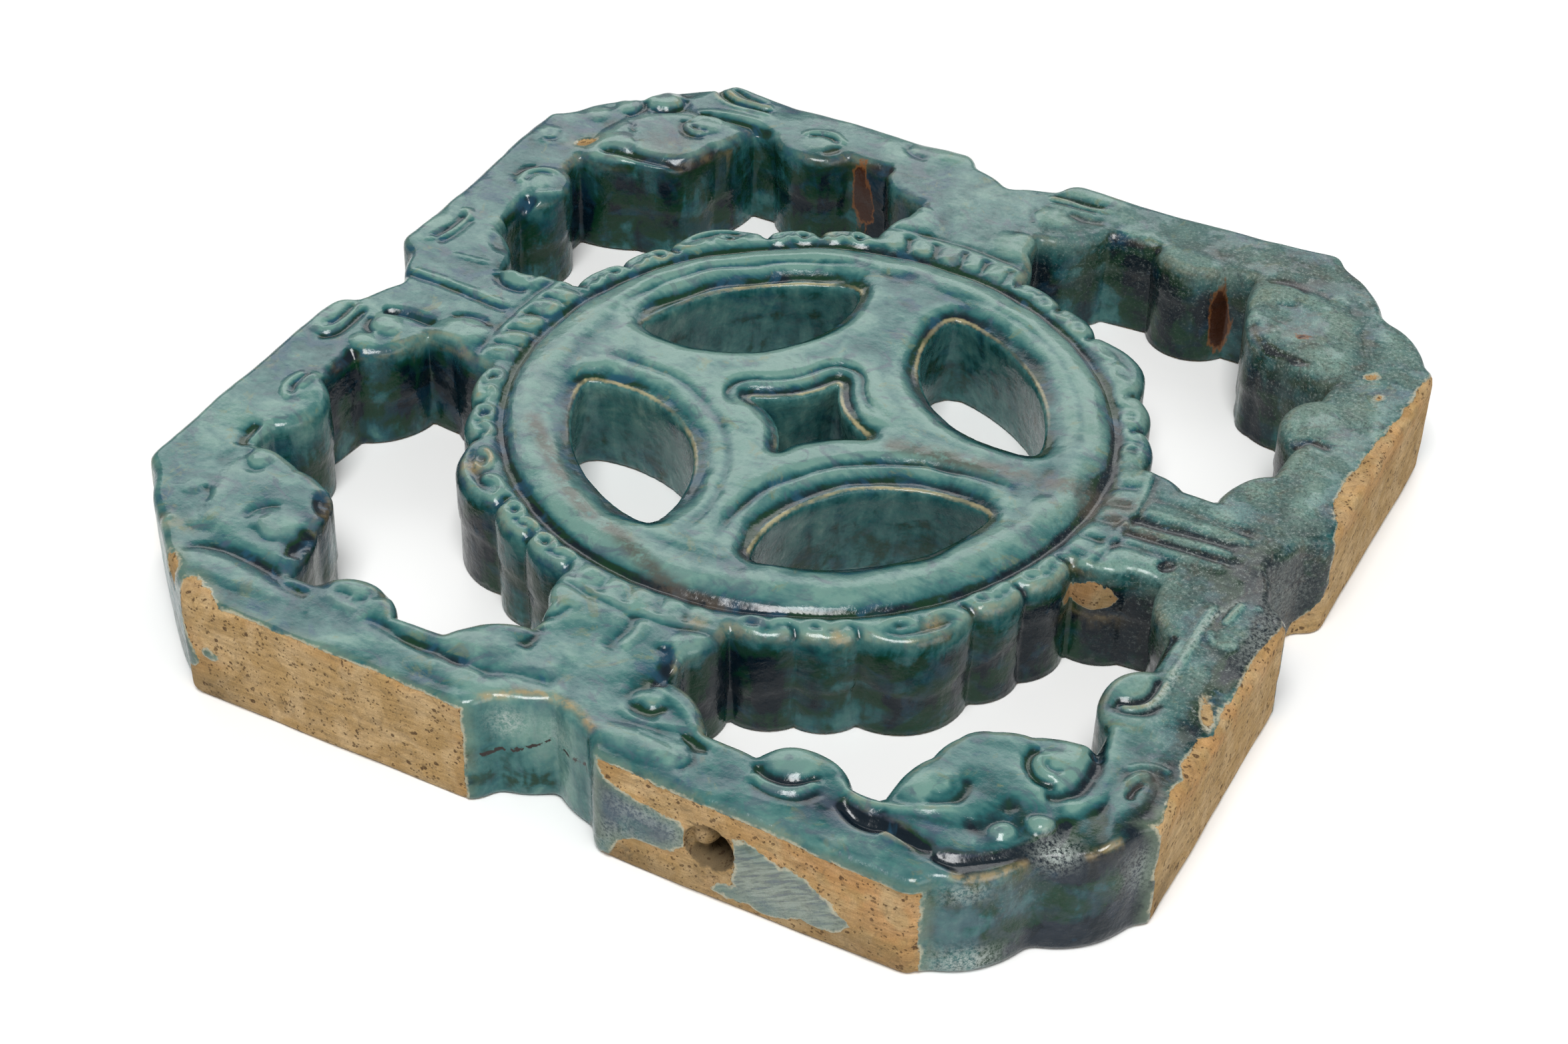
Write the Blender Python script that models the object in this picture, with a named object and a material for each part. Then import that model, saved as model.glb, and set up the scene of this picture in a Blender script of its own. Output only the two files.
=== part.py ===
"""Glazed stoneware breeze tile: a pierced coin held by four arms in a square openwork frame.

The tile lies on its plain back, face up. The origin is at the middle of the back, X and Y
run along the sides and Z goes up through the thickness. Plan sizes are fractions of the
side, so that SIDE alone sets the tile's size.
"""

from math import atan, cos, pi, radians, sin

import bmesh
import bpy
from mathutils import Matrix, Vector

# Driving dimensions, in metres
SIDE = 0.280
BODY_HEIGHT = 0.0313
RIM_ROUND = 0.0012

# Outer outline, in sides: a notch in the middle of each side, two lobes at each corner
NOTCH_DEPTH = 0.045
NOTCH_SHOULDER = (0.047, 0.024)
NOTCH_HALF_WIDTH = 0.064
NOTCH_FLOOR_BULGE = 0.004
NOTCH_CHEEK_BULGE = 0.003
STRAIGHT_END = 0.351
CORNER_SHOULDER = (0.3585, 0.013)
CORNER_SHOULDER_BULGE = 0.0015
CORNER_CUSP = 0.422
CORNER_LOBE_BULGE = 0.0125
PLAIN_CORNER = 2
PLAIN_CORNER_CUSP = 0.4275
PLAIN_CORNER_BULGE = 0.003

# Coin, in sides
COIN_FACE_RADIUS = 0.236
RING_CROWN_RADIUS = 0.262
RING_RADIUS = 0.287
GROOVE_OUTER_RADIUS = 0.297
BORDER_CUSP_RADIUS = 0.3155
BORDER_CUSP_ANGLES = (75.0, 64.5, 54.5, 35.5, 25.5, 15.0)
SMALL_LOBE_BULGE = 0.0092
LARGE_LOBE_BULGE = 0.0248
LARGE_LOBE_SPAN = 15.0

# Coin heights over the body's top, in metres
COIN_FACE_RISE = 0.0016
RING_CROWN_RISE = 0.0028
RING_EDGE_RISE = 0.0008
RING_OUTER_DROP = 0.0006
RING_INNER_DROP = 0.0004
RING_SUNK = 0.0020
GROOVE_DEPTH = 0.0016

# Piercings of the coin, in sides, and the ledge round them, in metres
LENS_TIP = (0.231, 0.034)
LENS_OUTER_BULGE = 0.050
LENS_INNER_BULGE = 0.083
LENS_TIP_SHARPNESS = 1.8
STAR_TIP = 0.090
STAR_WAIST = 0.047
STAR_TIP_SHARPNESS = 2.0
LEDGE_WIDTH = 0.0036
LEDGE_DEPTH = 0.0020
PIERCING_FLARE = 0.0036

# Arms and the frame's inner outline, in sides
ARM_LOBE_END = (0.352, 0.069)
ARM_LOBE_BULGE = 0.006
ARM_ROOT = (0.383, 0.066)
ARM_CURL_END = (0.426, 0.128)
ARM_CURL_BULGE = 0.010
SCROLL_START = (0.430, 0.176)
SCROLL_END = (0.4255, 0.262)
SCROLL_BULGE = 0.025
HEAD_ROOT = (0.4255, 0.288)
HEAD_SHOULDER = (0.365, 0.303)
HEAD_SHOULDER_BULGE = 0.004
HEAD_FRONT = 0.3225
HEAD_FRONT_BULGE = 0.005
WIDE_BAR_SHIFT = -0.011
WIDE_BAR_HALVES = ((0, 0), (3, 1))

# Cloud head in each corner of the frame, in sides, its rise in metres
HEAD_NAPE = 0.396
HEAD_NAPE_BULGE = 0.008
HEAD_TIP = (0.414, 0.302)
HEAD_BROW = (0.366, 0.312)
HEAD_NOSE = 0.333
HEAD_NOSE_BULGE = 0.005
HEAD_RISE = 0.0020
HEAD_BEVEL = 0.0012

# Raised carving: (centre, length, width, heading in degrees) in sides, rise in metres
VOLUTE = ((0.401, 0.322), 0.019, 0.019, 0)
VOLUTE_RISE = 0.0032
SCROLL = ((0.432, 0.219), 0.025, 0.017, 90)
SCROLL_RISE = 0.0018
ARM_CURL = ((0.440, 0.086), 0.022, 0.014, 60)
ARM_CURL_RISE = 0.0016
NOTCH_LEAF = ((0.478, 0.106), 0.032, 0.011, 80)
CORNER_LEAF = ((0.476, 0.312), 0.032, 0.011, 100)
LEAF_RISE = 0.0014
CORNER_BEAD = ((0.430, 0.402), 0.014, 0.010, 45)
CORNER_BEAD_RISE = 0.0016
GADROON_RADIUS = 0.306
GADROON_HALF_WIDTH = 0.0085
GADROON_RISE = 0.0014
GADROON_SHARE = 0.42
ARM_BEADS = 4
ARM_BEAD_SPACING = 5.6
ARM_BEAD_HALF_LENGTH = 0.012
REED_OFFSETS = (-0.036, 0.0, 0.036)
REED_HALF_WIDTH = 0.012
REED_START = 0.322
REED_END = 0.447
REED_RISE = 0.0012

# Blind hole in the front bedding side: place along the side in sides, the rest in metres
PEG_HOLE_ALONG = 0.170
PEG_HOLE_HEIGHT = 0.0168
PEG_HOLE_RADIUS = 0.0065
PEG_HOLE_DEPTH = 0.0120

# Glaze
GLAZE_COLOUR = (0.085, 0.215, 0.215, 1.0)
GLAZE_ROUGHNESS = 0.28

# Fineness of the facets
STRAIGHT = 1
SHOULDER_STEPS = 2
CHEEK_STEPS = 3
CURVE_STEPS = 4
LONG_CURVE_STEPS = 5
CORNER_LOBE_STEPS = 8
SCROLL_STEPS = 8
SMALL_LOBE_STEPS = 4
LARGE_LOBE_STEPS = 8
LENS_STEPS = 14
STAR_STEPS = 5
COIN_FACETS = 72
BOSS_FACETS = 12
SMALL_BOSS_FACETS = 10
BOSS_RINGS = 2
HOLE_FACETS = 20

QUARTER_TURN = pi / 2
CUT_CLEARANCE = 0.004
MERGE_DISTANCE = 1e-6
EQUATOR_TOLERANCE = 0.01


def in_plan(point):
    """A plan point, given in sides, in metres."""
    return Vector((point[0], point[1])) * SIDE


def arc(start, end, bulge, steps):
    """Points from start up to end, which is left out, bulging to the right of the way."""
    chord = end - start
    if bulge == 0.0:
        return [start.lerp(end, step / steps) for step in range(steps)]
    half_angle = 2 * atan(2 * bulge / chord.length)
    radius = chord.length / (2 * sin(half_angle))
    right = Vector((chord.y, -chord.x)).normalized()
    centre = start.lerp(end, 0.5) - right * (radius - bulge)
    spoke = start - centre
    turn = 2 * half_angle
    return [centre + Matrix.Rotation(turn * step / steps, 2) @ spoke for step in range(steps)]


def trace(start, stretches):
    """Points of a path of arcs, given as (end, bulge, steps), in sides."""
    points = []
    here = in_plan(start)
    for end, bulge, steps in stretches:
        there = in_plan(end)
        points += arc(here, there, bulge * SIDE, steps)
        here = there
    return points + [here]


def mirrored_in_diagonal(points):
    """The same path beyond the quadrant's diagonal, travelled onwards."""
    return [Vector((point.y, point.x)) for point in reversed(points)]


def turned(points, quarter):
    """Plan points turned to one of the four quadrants."""
    turn = Matrix.Rotation(quarter * QUARTER_TURN, 2)
    return [turn @ point for point in points]


def polar(radius, degrees):
    """A plan point, in sides, from its radius and angle."""
    return (radius * cos(radians(degrees)), radius * sin(radians(degrees)))


def outer_quadrant(quarter):
    """The outer outline from one notch to the next; one corner's lobes are nearly flat."""
    plain = quarter == PLAIN_CORNER
    cusp = PLAIN_CORNER_CUSP if plain else CORNER_CUSP
    corner_bulge = PLAIN_CORNER_BULGE if plain else CORNER_LOBE_BULGE
    half = trace(
        (0.5 - NOTCH_DEPTH, 0.0),
        [
            ((0.5 - NOTCH_SHOULDER[1], NOTCH_SHOULDER[0]), NOTCH_FLOOR_BULGE, CURVE_STEPS),
            ((0.5, NOTCH_HALF_WIDTH), NOTCH_CHEEK_BULGE, CHEEK_STEPS),
            ((0.5, STRAIGHT_END), 0.0, STRAIGHT),
            (
                (0.5 - CORNER_SHOULDER[1], CORNER_SHOULDER[0]),
                CORNER_SHOULDER_BULGE,
                SHOULDER_STEPS,
            ),
            ((cusp, cusp), corner_bulge, CORNER_LOBE_STEPS),
        ],
    )
    return half[:-1] + mirrored_in_diagonal(half)[:-1]


def border_arc():
    """The coin's lobed border between two arms, travelled clockwise round the coin."""
    points = []
    for first, last in zip(BORDER_CUSP_ANGLES, BORDER_CUSP_ANGLES[1:]):
        is_large = first - last > LARGE_LOBE_SPAN
        bulge = LARGE_LOBE_BULGE if is_large else SMALL_LOBE_BULGE
        steps = LARGE_LOBE_STEPS if is_large else SMALL_LOBE_STEPS
        start = in_plan(polar(BORDER_CUSP_RADIUS, first))
        end = in_plan(polar(BORDER_CUSP_RADIUS, last))
        points += arc(start, end, -bulge * SIDE, steps)
    return points


def half_opening(shift):
    """From the coin along an arm and a bar to the cloud head, the bar's edge moved by shift."""
    return trace(
        polar(BORDER_CUSP_RADIUS, BORDER_CUSP_ANGLES[-1]),
        [
            (ARM_LOBE_END, -ARM_LOBE_BULGE, CURVE_STEPS),
            (ARM_ROOT, 0.0, STRAIGHT),
            ((ARM_CURL_END[0] + shift, ARM_CURL_END[1]), -ARM_CURL_BULGE, LONG_CURVE_STEPS),
            ((SCROLL_START[0] + shift, SCROLL_START[1]), 0.0, STRAIGHT),
            ((SCROLL_END[0] + shift, SCROLL_END[1]), -SCROLL_BULGE, SCROLL_STEPS),
            ((HEAD_ROOT[0] + shift, HEAD_ROOT[1]), 0.0, STRAIGHT),
            (HEAD_SHOULDER, -HEAD_SHOULDER_BULGE, LONG_CURVE_STEPS),
            ((HEAD_FRONT, HEAD_FRONT), -HEAD_FRONT_BULGE, CURVE_STEPS),
        ],
    )


def opening_quadrant(quarter):
    """Outline of the opening between the coin, two arms and a corner of the frame."""
    near, far = [
        half_opening(WIDE_BAR_SHIFT if (quarter, half) in WIDE_BAR_HALVES else 0.0)
        for half in range(2)
    ]
    return border_arc() + near + mirrored_in_diagonal(far)[1:-1]


def lens_outline(inset):
    """Outline of a leaf-shaped piercing in the first quadrant, drawn in by inset metres."""
    start = in_plan(LENS_TIP)
    end = start.yx
    along = (end - start).normalized()
    start = start + along * inset * LENS_TIP_SHARPNESS
    end = end - along * inset * LENS_TIP_SHARPNESS
    outer = arc(start, end, LENS_OUTER_BULGE * SIDE - inset, LENS_STEPS)
    inner = arc(end, start, LENS_INNER_BULGE * SIDE - inset, LENS_STEPS)
    return outer + inner


def star_outline(inset):
    """Outline of the four-pointed piercing in the middle, drawn in by inset metres."""
    tip = STAR_TIP * SIDE - STAR_TIP_SHARPNESS * inset
    chord_middle = tip * cos(pi / 4)
    hollow = chord_middle - (STAR_WAIST * SIDE - inset)
    side = arc(Vector((tip, 0.0)), Vector((0.0, tip)), -hollow, STAR_STEPS)
    return [point for quarter in range(4) for point in turned(side, quarter)]


def add_loop(bm, points, height):
    """A closed loop of edges at a height."""
    verts = [bm.verts.new((point.x, point.y, height)) for point in points]
    return [bm.edges.new((vert, verts[index - 1])) for index, vert in enumerate(verts)]


def raise_outline(bm, loops, low, high):
    """A prism over the area between closed loops of points; returns its top rim's edges."""
    rim = [edge for points in loops for edge in add_loop(bm, points, high)]
    filled = bmesh.ops.triangle_fill(bm, use_beauty=True, edges=rim)
    faces = [item for item in filled["geom"] if isinstance(item, bmesh.types.BMFace)]
    lower = bmesh.ops.extrude_face_region(bm, geom=faces, use_keep_orig=True)
    sunk = [item for item in lower["geom"] if isinstance(item, bmesh.types.BMVert)]
    bmesh.ops.translate(bm, verts=sunk, vec=(0.0, 0.0, low - high))
    bmesh.ops.recalc_face_normals(bm, faces=bm.faces)
    return rim


def finish_object(name, bm, material=None):
    """Turn a bmesh into an object of the scene."""
    mesh = bpy.data.meshes.new(name)
    bm.to_mesh(mesh)
    bm.free()
    piece = bpy.data.objects.new(name, mesh)
    if material:
        mesh.materials.append(material)
    bpy.context.scene.collection.objects.link(piece)
    return piece


def make_tool(name, bm):
    """An object that only shapes the tile and is no piece of it."""
    bmesh.ops.recalc_face_normals(bm, faces=bm.faces)
    tool = finish_object(name, bm)
    tool.hide_render = True
    tool.display_type = "WIRE"
    return tool


def soften(bm, edges, width):
    """Take the sharpness off edges."""
    bmesh.ops.bevel(
        bm,
        geom=edges,
        offset=width,
        affect="EDGES",
        segments=1,
        profile=0.5,
        clamp_overlap=True,
        material=-1,
    )


def make_body(material):
    """The frame, the arms and the coin's border, with a softened upper edge."""
    bm = bmesh.new()
    outer = []
    openings = []
    for quarter in range(4):
        outer += turned(outer_quadrant(quarter), quarter)
        openings.append(turned(opening_quadrant(quarter), quarter))
    rim = raise_outline(bm, [outer] + openings, 0.0, BODY_HEIGHT)
    soften(bm, rim, RIM_ROUND)
    return finish_object("breeze_tile", bm, material)


def turn_profile(bm, profile, facets):
    """A body turned round Z from a profile of (radius, height), in metres."""
    verts = [bm.verts.new((radius, 0.0, height)) for radius, height in profile]
    edges = [bm.edges.new(pair) for pair in zip(verts, verts[1:])]
    bmesh.ops.spin(
        bm,
        geom=verts + edges,
        axis=(0, 0, 1),
        cent=(0, 0, 0),
        steps=facets,
        angle=2 * pi,
        use_merge=True,
    )
    bmesh.ops.remove_doubles(bm, verts=bm.verts, dist=MERGE_DISTANCE)


def make_coin():
    """The coin's face with its rounded ring."""
    foot = BODY_HEIGHT - GROOVE_DEPTH - RING_SUNK
    face = BODY_HEIGHT + COIN_FACE_RISE
    top = BODY_HEIGHT + RING_CROWN_RISE
    valley = COIN_FACE_RADIUS * SIDE
    crown = RING_CROWN_RADIUS * SIDE
    edge = RING_RADIUS * SIDE
    bm = bmesh.new()
    turn_profile(
        bm,
        [
            (0.0, foot),
            (edge, foot),
            (edge, BODY_HEIGHT + RING_EDGE_RISE),
            ((crown + 2 * edge) / 3, top - RING_OUTER_DROP),
            (crown, top),
            ((crown + valley) / 2, top - RING_INNER_DROP),
            (valley, face),
            (0.0, face),
        ],
        COIN_FACETS,
    )
    return make_tool("coin_form", bm)


def make_groove_cutter():
    """The sunk line between the ring and the lobed border."""
    inner = RING_CROWN_RADIUS * SIDE
    outer = GROOVE_OUTER_RADIUS * SIDE
    low = BODY_HEIGHT - GROOVE_DEPTH
    high = BODY_HEIGHT + CUT_CLEARANCE
    bm = bmesh.new()
    profile = [(inner, low), (RING_RADIUS * SIDE, low), (outer, high), (inner, high)]
    turn_profile(bm, profile + profile[:1], COIN_FACETS)
    return make_tool("groove_cutter", bm)


def piercing_outlines(inset):
    """Outlines of the four leaf-shaped piercings and the star between them."""
    lenses = [turned(lens_outline(inset), quarter) for quarter in range(4)]
    return lenses + [star_outline(inset)]


def make_ledge_cutter():
    """Prisms that sink a ledge round the piercings in the coin's face."""
    bm = bmesh.new()
    low = BODY_HEIGHT + COIN_FACE_RISE - LEDGE_DEPTH
    high = BODY_HEIGHT + RING_CROWN_RISE + CUT_CLEARANCE
    for loop in piercing_outlines(0.0):
        shape = bmesh.new()
        raise_outline(shape, [loop], low, high)
        append_shape(bm, shape)
    return make_tool("ledge_cutter", bm)


def make_hole_cutter():
    """Piercings through the coin, wider at the foot than at the face."""
    bm = bmesh.new()
    low = -CUT_CLEARANCE
    high = BODY_HEIGHT + RING_CROWN_RISE + CUT_CLEARANCE
    feet = piercing_outlines(LEDGE_WIDTH - PIERCING_FLARE)
    for foot, head in zip(feet, piercing_outlines(LEDGE_WIDTH)):
        shape = bmesh.new()
        rims = [add_loop(shape, foot, low), add_loop(shape, head, high)]
        bmesh.ops.bridge_loops(shape, edges=rims[0] + rims[1])
        for rim in rims:
            bmesh.ops.triangle_fill(shape, use_beauty=True, edges=rim)
        bmesh.ops.triangulate(shape, faces=shape.faces)
        bmesh.ops.recalc_face_normals(shape, faces=shape.faces)
        append_shape(bm, shape)
    return make_tool("hole_cutter", bm)


def append_shape(bm, shape):
    """Add one bmesh to another and free it."""
    mesh = bpy.data.meshes.new("shape")
    shape.to_mesh(mesh)
    shape.free()
    bm.from_mesh(mesh)
    bpy.data.meshes.remove(mesh)


def add_boss(bm, centre, half_length, half_width, heading, rise, facets):
    """A low domed boss with an oval plan, its foot sunk in the body."""
    shape = bmesh.new()
    bmesh.ops.create_uvsphere(
        shape, u_segments=facets, v_segments=2 * BOSS_RINGS, radius=1.0
    )
    low_half = [vert for vert in shape.verts if vert.co.z < -EQUATOR_TOLERANCE]
    bmesh.ops.delete(shape, geom=low_half, context="VERTS")
    rim = [edge for edge in shape.edges if edge.is_boundary]
    skirt = bmesh.ops.extrude_edge_only(shape, edges=rim)
    hem = [item for item in skirt["geom"] if isinstance(item, bmesh.types.BMVert)]
    bmesh.ops.translate(shape, verts=hem, vec=(0, 0, -1))
    bmesh.ops.holes_fill(shape, edges=[edge for edge in shape.edges if edge.is_boundary])
    bmesh.ops.scale(shape, verts=shape.verts, vec=(half_length, half_width, rise))
    place = Matrix.Translation((centre.x, centre.y, BODY_HEIGHT))
    place = place @ Matrix.Rotation(heading, 4, "Z")
    bmesh.ops.transform(shape, matrix=place, verts=shape.verts)
    append_shape(bm, shape)


def add_oval_pair(bm, oval, rise, quarter):
    """An oval boss and its twin beyond the diagonal, in one quadrant."""
    centre, half_length, half_width, degrees = oval
    here = in_plan(centre)
    turn = quarter * QUARTER_TURN
    places = turned([here, here.yx], quarter)
    headings = [radians(degrees) + turn, QUARTER_TURN - radians(degrees) + turn]
    for place, heading in zip(places, headings):
        size = (half_length * SIDE, half_width * SIDE)
        add_boss(bm, place, *size, heading, rise, BOSS_FACETS)


def head_outline():
    """Outline of the raised cloud head in the first quadrant."""
    half = trace(
        (HEAD_NAPE, HEAD_NAPE),
        [
            (HEAD_TIP, -HEAD_NAPE_BULGE, CURVE_STEPS),
            (HEAD_BROW, 0.0, STRAIGHT),
            ((HEAD_NOSE, HEAD_NOSE), -HEAD_NOSE_BULGE, CURVE_STEPS),
        ],
    )
    points = half + mirrored_in_diagonal(half)[1:-1]
    points.reverse()
    return points


def make_cloud_heads():
    """The raised plate of each cloud head, its edge bevelled."""
    bm = bmesh.new()
    for quarter in range(4):
        shape = bmesh.new()
        loops = [turned(head_outline(), quarter)]
        low = BODY_HEIGHT - HEAD_BEVEL
        rim = raise_outline(shape, loops, low, BODY_HEIGHT + HEAD_RISE)
        soften(shape, rim, HEAD_BEVEL)
        append_shape(bm, shape)
    return make_tool("cloud_heads", bm)


def make_scrolls_and_leaves():
    """Scrolls and leaf curls along the frame, and the beads behind the cloud heads."""
    bm = bmesh.new()
    for quarter in range(4):
        add_oval_pair(bm, SCROLL, SCROLL_RISE, quarter)
        add_oval_pair(bm, ARM_CURL, ARM_CURL_RISE, quarter)
        add_oval_pair(bm, NOTCH_LEAF, LEAF_RISE, quarter)
        add_oval_pair(bm, CORNER_LEAF, LEAF_RISE, quarter)
        add_oval_pair(bm, CORNER_BEAD, CORNER_BEAD_RISE, quarter)
    return make_tool("scrolls_and_leaves", bm)


def make_volutes():
    """The two coiled ends of each cloud head."""
    bm = bmesh.new()
    for quarter in range(4):
        add_oval_pair(bm, VOLUTE, VOLUTE_RISE, quarter)
    return make_tool("volutes", bm)


def add_gadroon(bm, degrees, half_length, quarter):
    """One rounded lobe of the coin's rope border."""
    centre = turned([in_plan(polar(GADROON_RADIUS, degrees))], quarter)[0]
    heading = radians(degrees) + (quarter + 1) * QUARTER_TURN
    half_width = GADROON_HALF_WIDTH * SIDE
    size = (half_length * SIDE, half_width)
    add_boss(bm, centre, *size, heading, GADROON_RISE, SMALL_BOSS_FACETS)


def make_rope_border():
    """Gadroons on the border's lobes and beads across the ends of the arms."""
    bm = bmesh.new()
    for quarter in range(4):
        for first, last in zip(BORDER_CUSP_ANGLES, BORDER_CUSP_ANGLES[1:]):
            span = radians(first - last) * GADROON_RADIUS
            add_gadroon(bm, (first + last) / 2, span * GADROON_SHARE, quarter)
        for bead in range(ARM_BEADS):
            degrees = (bead - (ARM_BEADS - 1) / 2) * ARM_BEAD_SPACING
            add_gadroon(bm, degrees, ARM_BEAD_HALF_LENGTH, quarter)
    return make_tool("rope_border", bm)


def make_reeds():
    """Three lengthwise reeds on each arm."""
    bm = bmesh.new()
    size = ((REED_END - REED_START) * SIDE / 2, REED_HALF_WIDTH * SIDE)
    for quarter in range(4):
        turn = quarter * QUARTER_TURN
        for offset in REED_OFFSETS:
            middle = in_plan(((REED_START + REED_END) / 2, offset))
            centre = turned([middle], quarter)[0]
            add_boss(bm, centre, *size, turn, REED_RISE, SMALL_BOSS_FACETS)
    return make_tool("reeds", bm)


def make_peg_hole_cutter():
    """The blind hole in the middle of one bedding face's thickness."""
    bm = bmesh.new()
    bmesh.ops.create_cone(
        bm,
        cap_ends=True,
        segments=HOLE_FACETS,
        radius1=PEG_HOLE_RADIUS,
        radius2=PEG_HOLE_RADIUS,
        depth=2 * PEG_HOLE_DEPTH,
    )
    place = Matrix.Translation((PEG_HOLE_ALONG * SIDE, -SIDE / 2, PEG_HOLE_HEIGHT))
    place = place @ Matrix.Rotation(QUARTER_TURN, 4, "X")
    bmesh.ops.transform(bm, matrix=place, verts=bm.verts)
    return make_tool("peg_hole_cutter", bm)


def combine(piece, tool, operation):
    """Shape the tile with a tool."""
    modifier = piece.modifiers.new(tool.name, "BOOLEAN")
    modifier.operation = operation
    modifier.solver = "EXACT"
    modifier.object = tool


def make_glaze():
    """Blue-green glaze."""
    material = bpy.data.materials.new("teal_glaze")
    material.use_nodes = True
    shader = material.node_tree.nodes["Principled BSDF"]
    shader.inputs["Base Color"].default_value = GLAZE_COLOUR
    shader.inputs["Roughness"].default_value = GLAZE_ROUGHNESS
    shader.inputs["Metallic"].default_value = 0.0
    return material


def main():
    for old in list(bpy.data.objects):
        bpy.data.objects.remove(old)
    tile = make_body(make_glaze())
    combine(tile, make_groove_cutter(), "DIFFERENCE")
    combine(tile, make_coin(), "UNION")
    combine(tile, make_rope_border(), "UNION")
    combine(tile, make_reeds(), "UNION")
    combine(tile, make_cloud_heads(), "UNION")
    combine(tile, make_volutes(), "UNION")
    combine(tile, make_scrolls_and_leaves(), "UNION")
    combine(tile, make_ledge_cutter(), "DIFFERENCE")
    combine(tile, make_hole_cutter(), "DIFFERENCE")
    combine(tile, make_peg_hole_cutter(), "DIFFERENCE")


main()
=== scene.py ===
"""Looks of the stoneware breeze tile: carved relief, glaze, bare clay, drips and wear.

The tile is one casting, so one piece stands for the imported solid. Its outline is given in
sides: shares of the tile's width, measured from its middle. Long lists of marks are in
thousandths of the side over the plan, and in millimetres up from the back.
"""

from math import atan, cos, hypot, pi, radians, sin

import bmesh
import bpy
import numpy as np
from mathutils import Matrix, Vector
from mathutils.kdtree import KDTree


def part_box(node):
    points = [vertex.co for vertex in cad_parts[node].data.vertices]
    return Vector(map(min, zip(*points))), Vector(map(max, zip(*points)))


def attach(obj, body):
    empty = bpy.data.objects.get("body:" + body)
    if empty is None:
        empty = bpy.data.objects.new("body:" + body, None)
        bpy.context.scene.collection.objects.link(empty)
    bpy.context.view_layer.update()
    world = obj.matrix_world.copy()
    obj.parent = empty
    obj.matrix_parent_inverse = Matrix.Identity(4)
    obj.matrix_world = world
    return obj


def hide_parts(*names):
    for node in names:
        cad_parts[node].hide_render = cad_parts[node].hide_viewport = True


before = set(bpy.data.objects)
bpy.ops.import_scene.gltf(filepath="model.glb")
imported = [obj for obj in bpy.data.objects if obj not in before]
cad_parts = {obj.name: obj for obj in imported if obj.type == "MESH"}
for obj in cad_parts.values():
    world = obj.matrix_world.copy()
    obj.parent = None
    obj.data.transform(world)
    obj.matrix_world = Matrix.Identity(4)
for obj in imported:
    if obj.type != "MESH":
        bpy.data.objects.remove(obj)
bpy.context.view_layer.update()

# The tile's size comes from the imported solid. Shapes are worked out at 280 mm of width
CAD_LOW, CAD_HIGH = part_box("breeze_tile")
SIDE = CAD_HIGH.x - CAD_LOW.x
WIDTH = 280
MM = SIDE / WIDTH
THOUSANDTH = WIDTH / 1000
BODY_TOP = 31.3

# ---------------------------------------------------------------- plan outlines

# Outer outline, in sides: a notch in the middle of each side, two lobes at each corner
NOTCH_DEPTH = 0.045
NOTCH_SHOULDER = (0.047, 0.024)
NOTCH_HALF_WIDTH = 0.064
NOTCH_FLOOR_BULGE = 0.004
NOTCH_CHEEK_BULGE = 0.003
STRAIGHT_END = 0.351
CORNER_SHOULDER = (0.3585, 0.013)
CORNER_SHOULDER_BULGE = 0.0015
CORNER_CUSP = 0.422
CORNER_LOBE_BULGE = 0.0125
PLAIN_CORNER = 2
PLAIN_CORNER_CUSP = 0.4275
PLAIN_CORNER_BULGE = 0.003

# Coin and its border, in sides and degrees
BORDER_CUSP_RADIUS = 0.3155
BORDER_CUSP_ANGLES = (75.0, 64.5, 54.5, 35.5, 25.5, 15.0)
SMALL_LOBE_BULGE = 0.0092
LARGE_LOBE_BULGE = 0.0248
LARGE_LOBE_SPAN = 15.0
LENS_TIP = (0.231, 0.034)
LENS_OUTER_BULGE = 0.050
LENS_INNER_BULGE = 0.083
LENS_TIP_SHARPNESS = 1.8
STAR_TIP = 0.090
STAR_WAIST = 0.047
STAR_TIP_SHARPNESS = 2.0
LEDGE_WIDTH = 3.6 / WIDTH

# The frame's inner outline in the first quadrant, in sides
ARM_LOBE_END = (0.352, 0.069)
ARM_LOBE_BULGE = 0.006
ARM_ROOT = (0.383, 0.066)
ARM_CURL_END = (0.426, 0.128)
ARM_CURL_BULGE = 0.010
SCROLL_START = (0.430, 0.176)
SCROLL_END = (0.4255, 0.262)
SCROLL_BULGE = 0.025
HEAD_ROOT = (0.4255, 0.288)
HEAD_SHOULDER = (0.365, 0.303)
HEAD_SHOULDER_BULGE = 0.004
HEAD_FRONT = 0.3225
HEAD_FRONT_BULGE = 0.005
# Points of each cloud head that a rounded tip stands in for, and its bulge for each of them
TIP_POINTS = (3, 6, 3, 3)
HEAD_TIP_BULGE = 0.0015
# One bar is wider: how far its inner edge is moved, and the quarters and halves it bounds
WIDE_BAR_SHIFT = -0.011
WIDE_BAR_HALVES = ((0, 0), (3, 1))
# Points on an outline are about this far apart
STEP = 0.005


def arc(start, end, bulge, steps):
    """Plan points from start up to end, which is left out, bulging to the right of the way."""
    start = np.array(start, float)
    chord = np.array(end, float) - start
    length = hypot(*chord)
    share = np.arange(steps)[:, None] / steps
    if bulge == 0.0:
        return start + share * chord
    half_angle = 2 * atan(2 * bulge / length)
    radius = length / (2 * sin(half_angle))
    right = np.array((chord[1], -chord[0])) / length
    centre = start + chord / 2 - right * (radius - bulge)
    spoke = start - centre
    turn = 2 * half_angle * share[:, 0]
    cosine, sine = np.cos(turn), np.sin(turn)
    x = centre[0] + spoke[0] * cosine - spoke[1] * sine
    y = centre[1] + spoke[0] * sine + spoke[1] * cosine
    return np.stack([x, y], 1)


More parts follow.
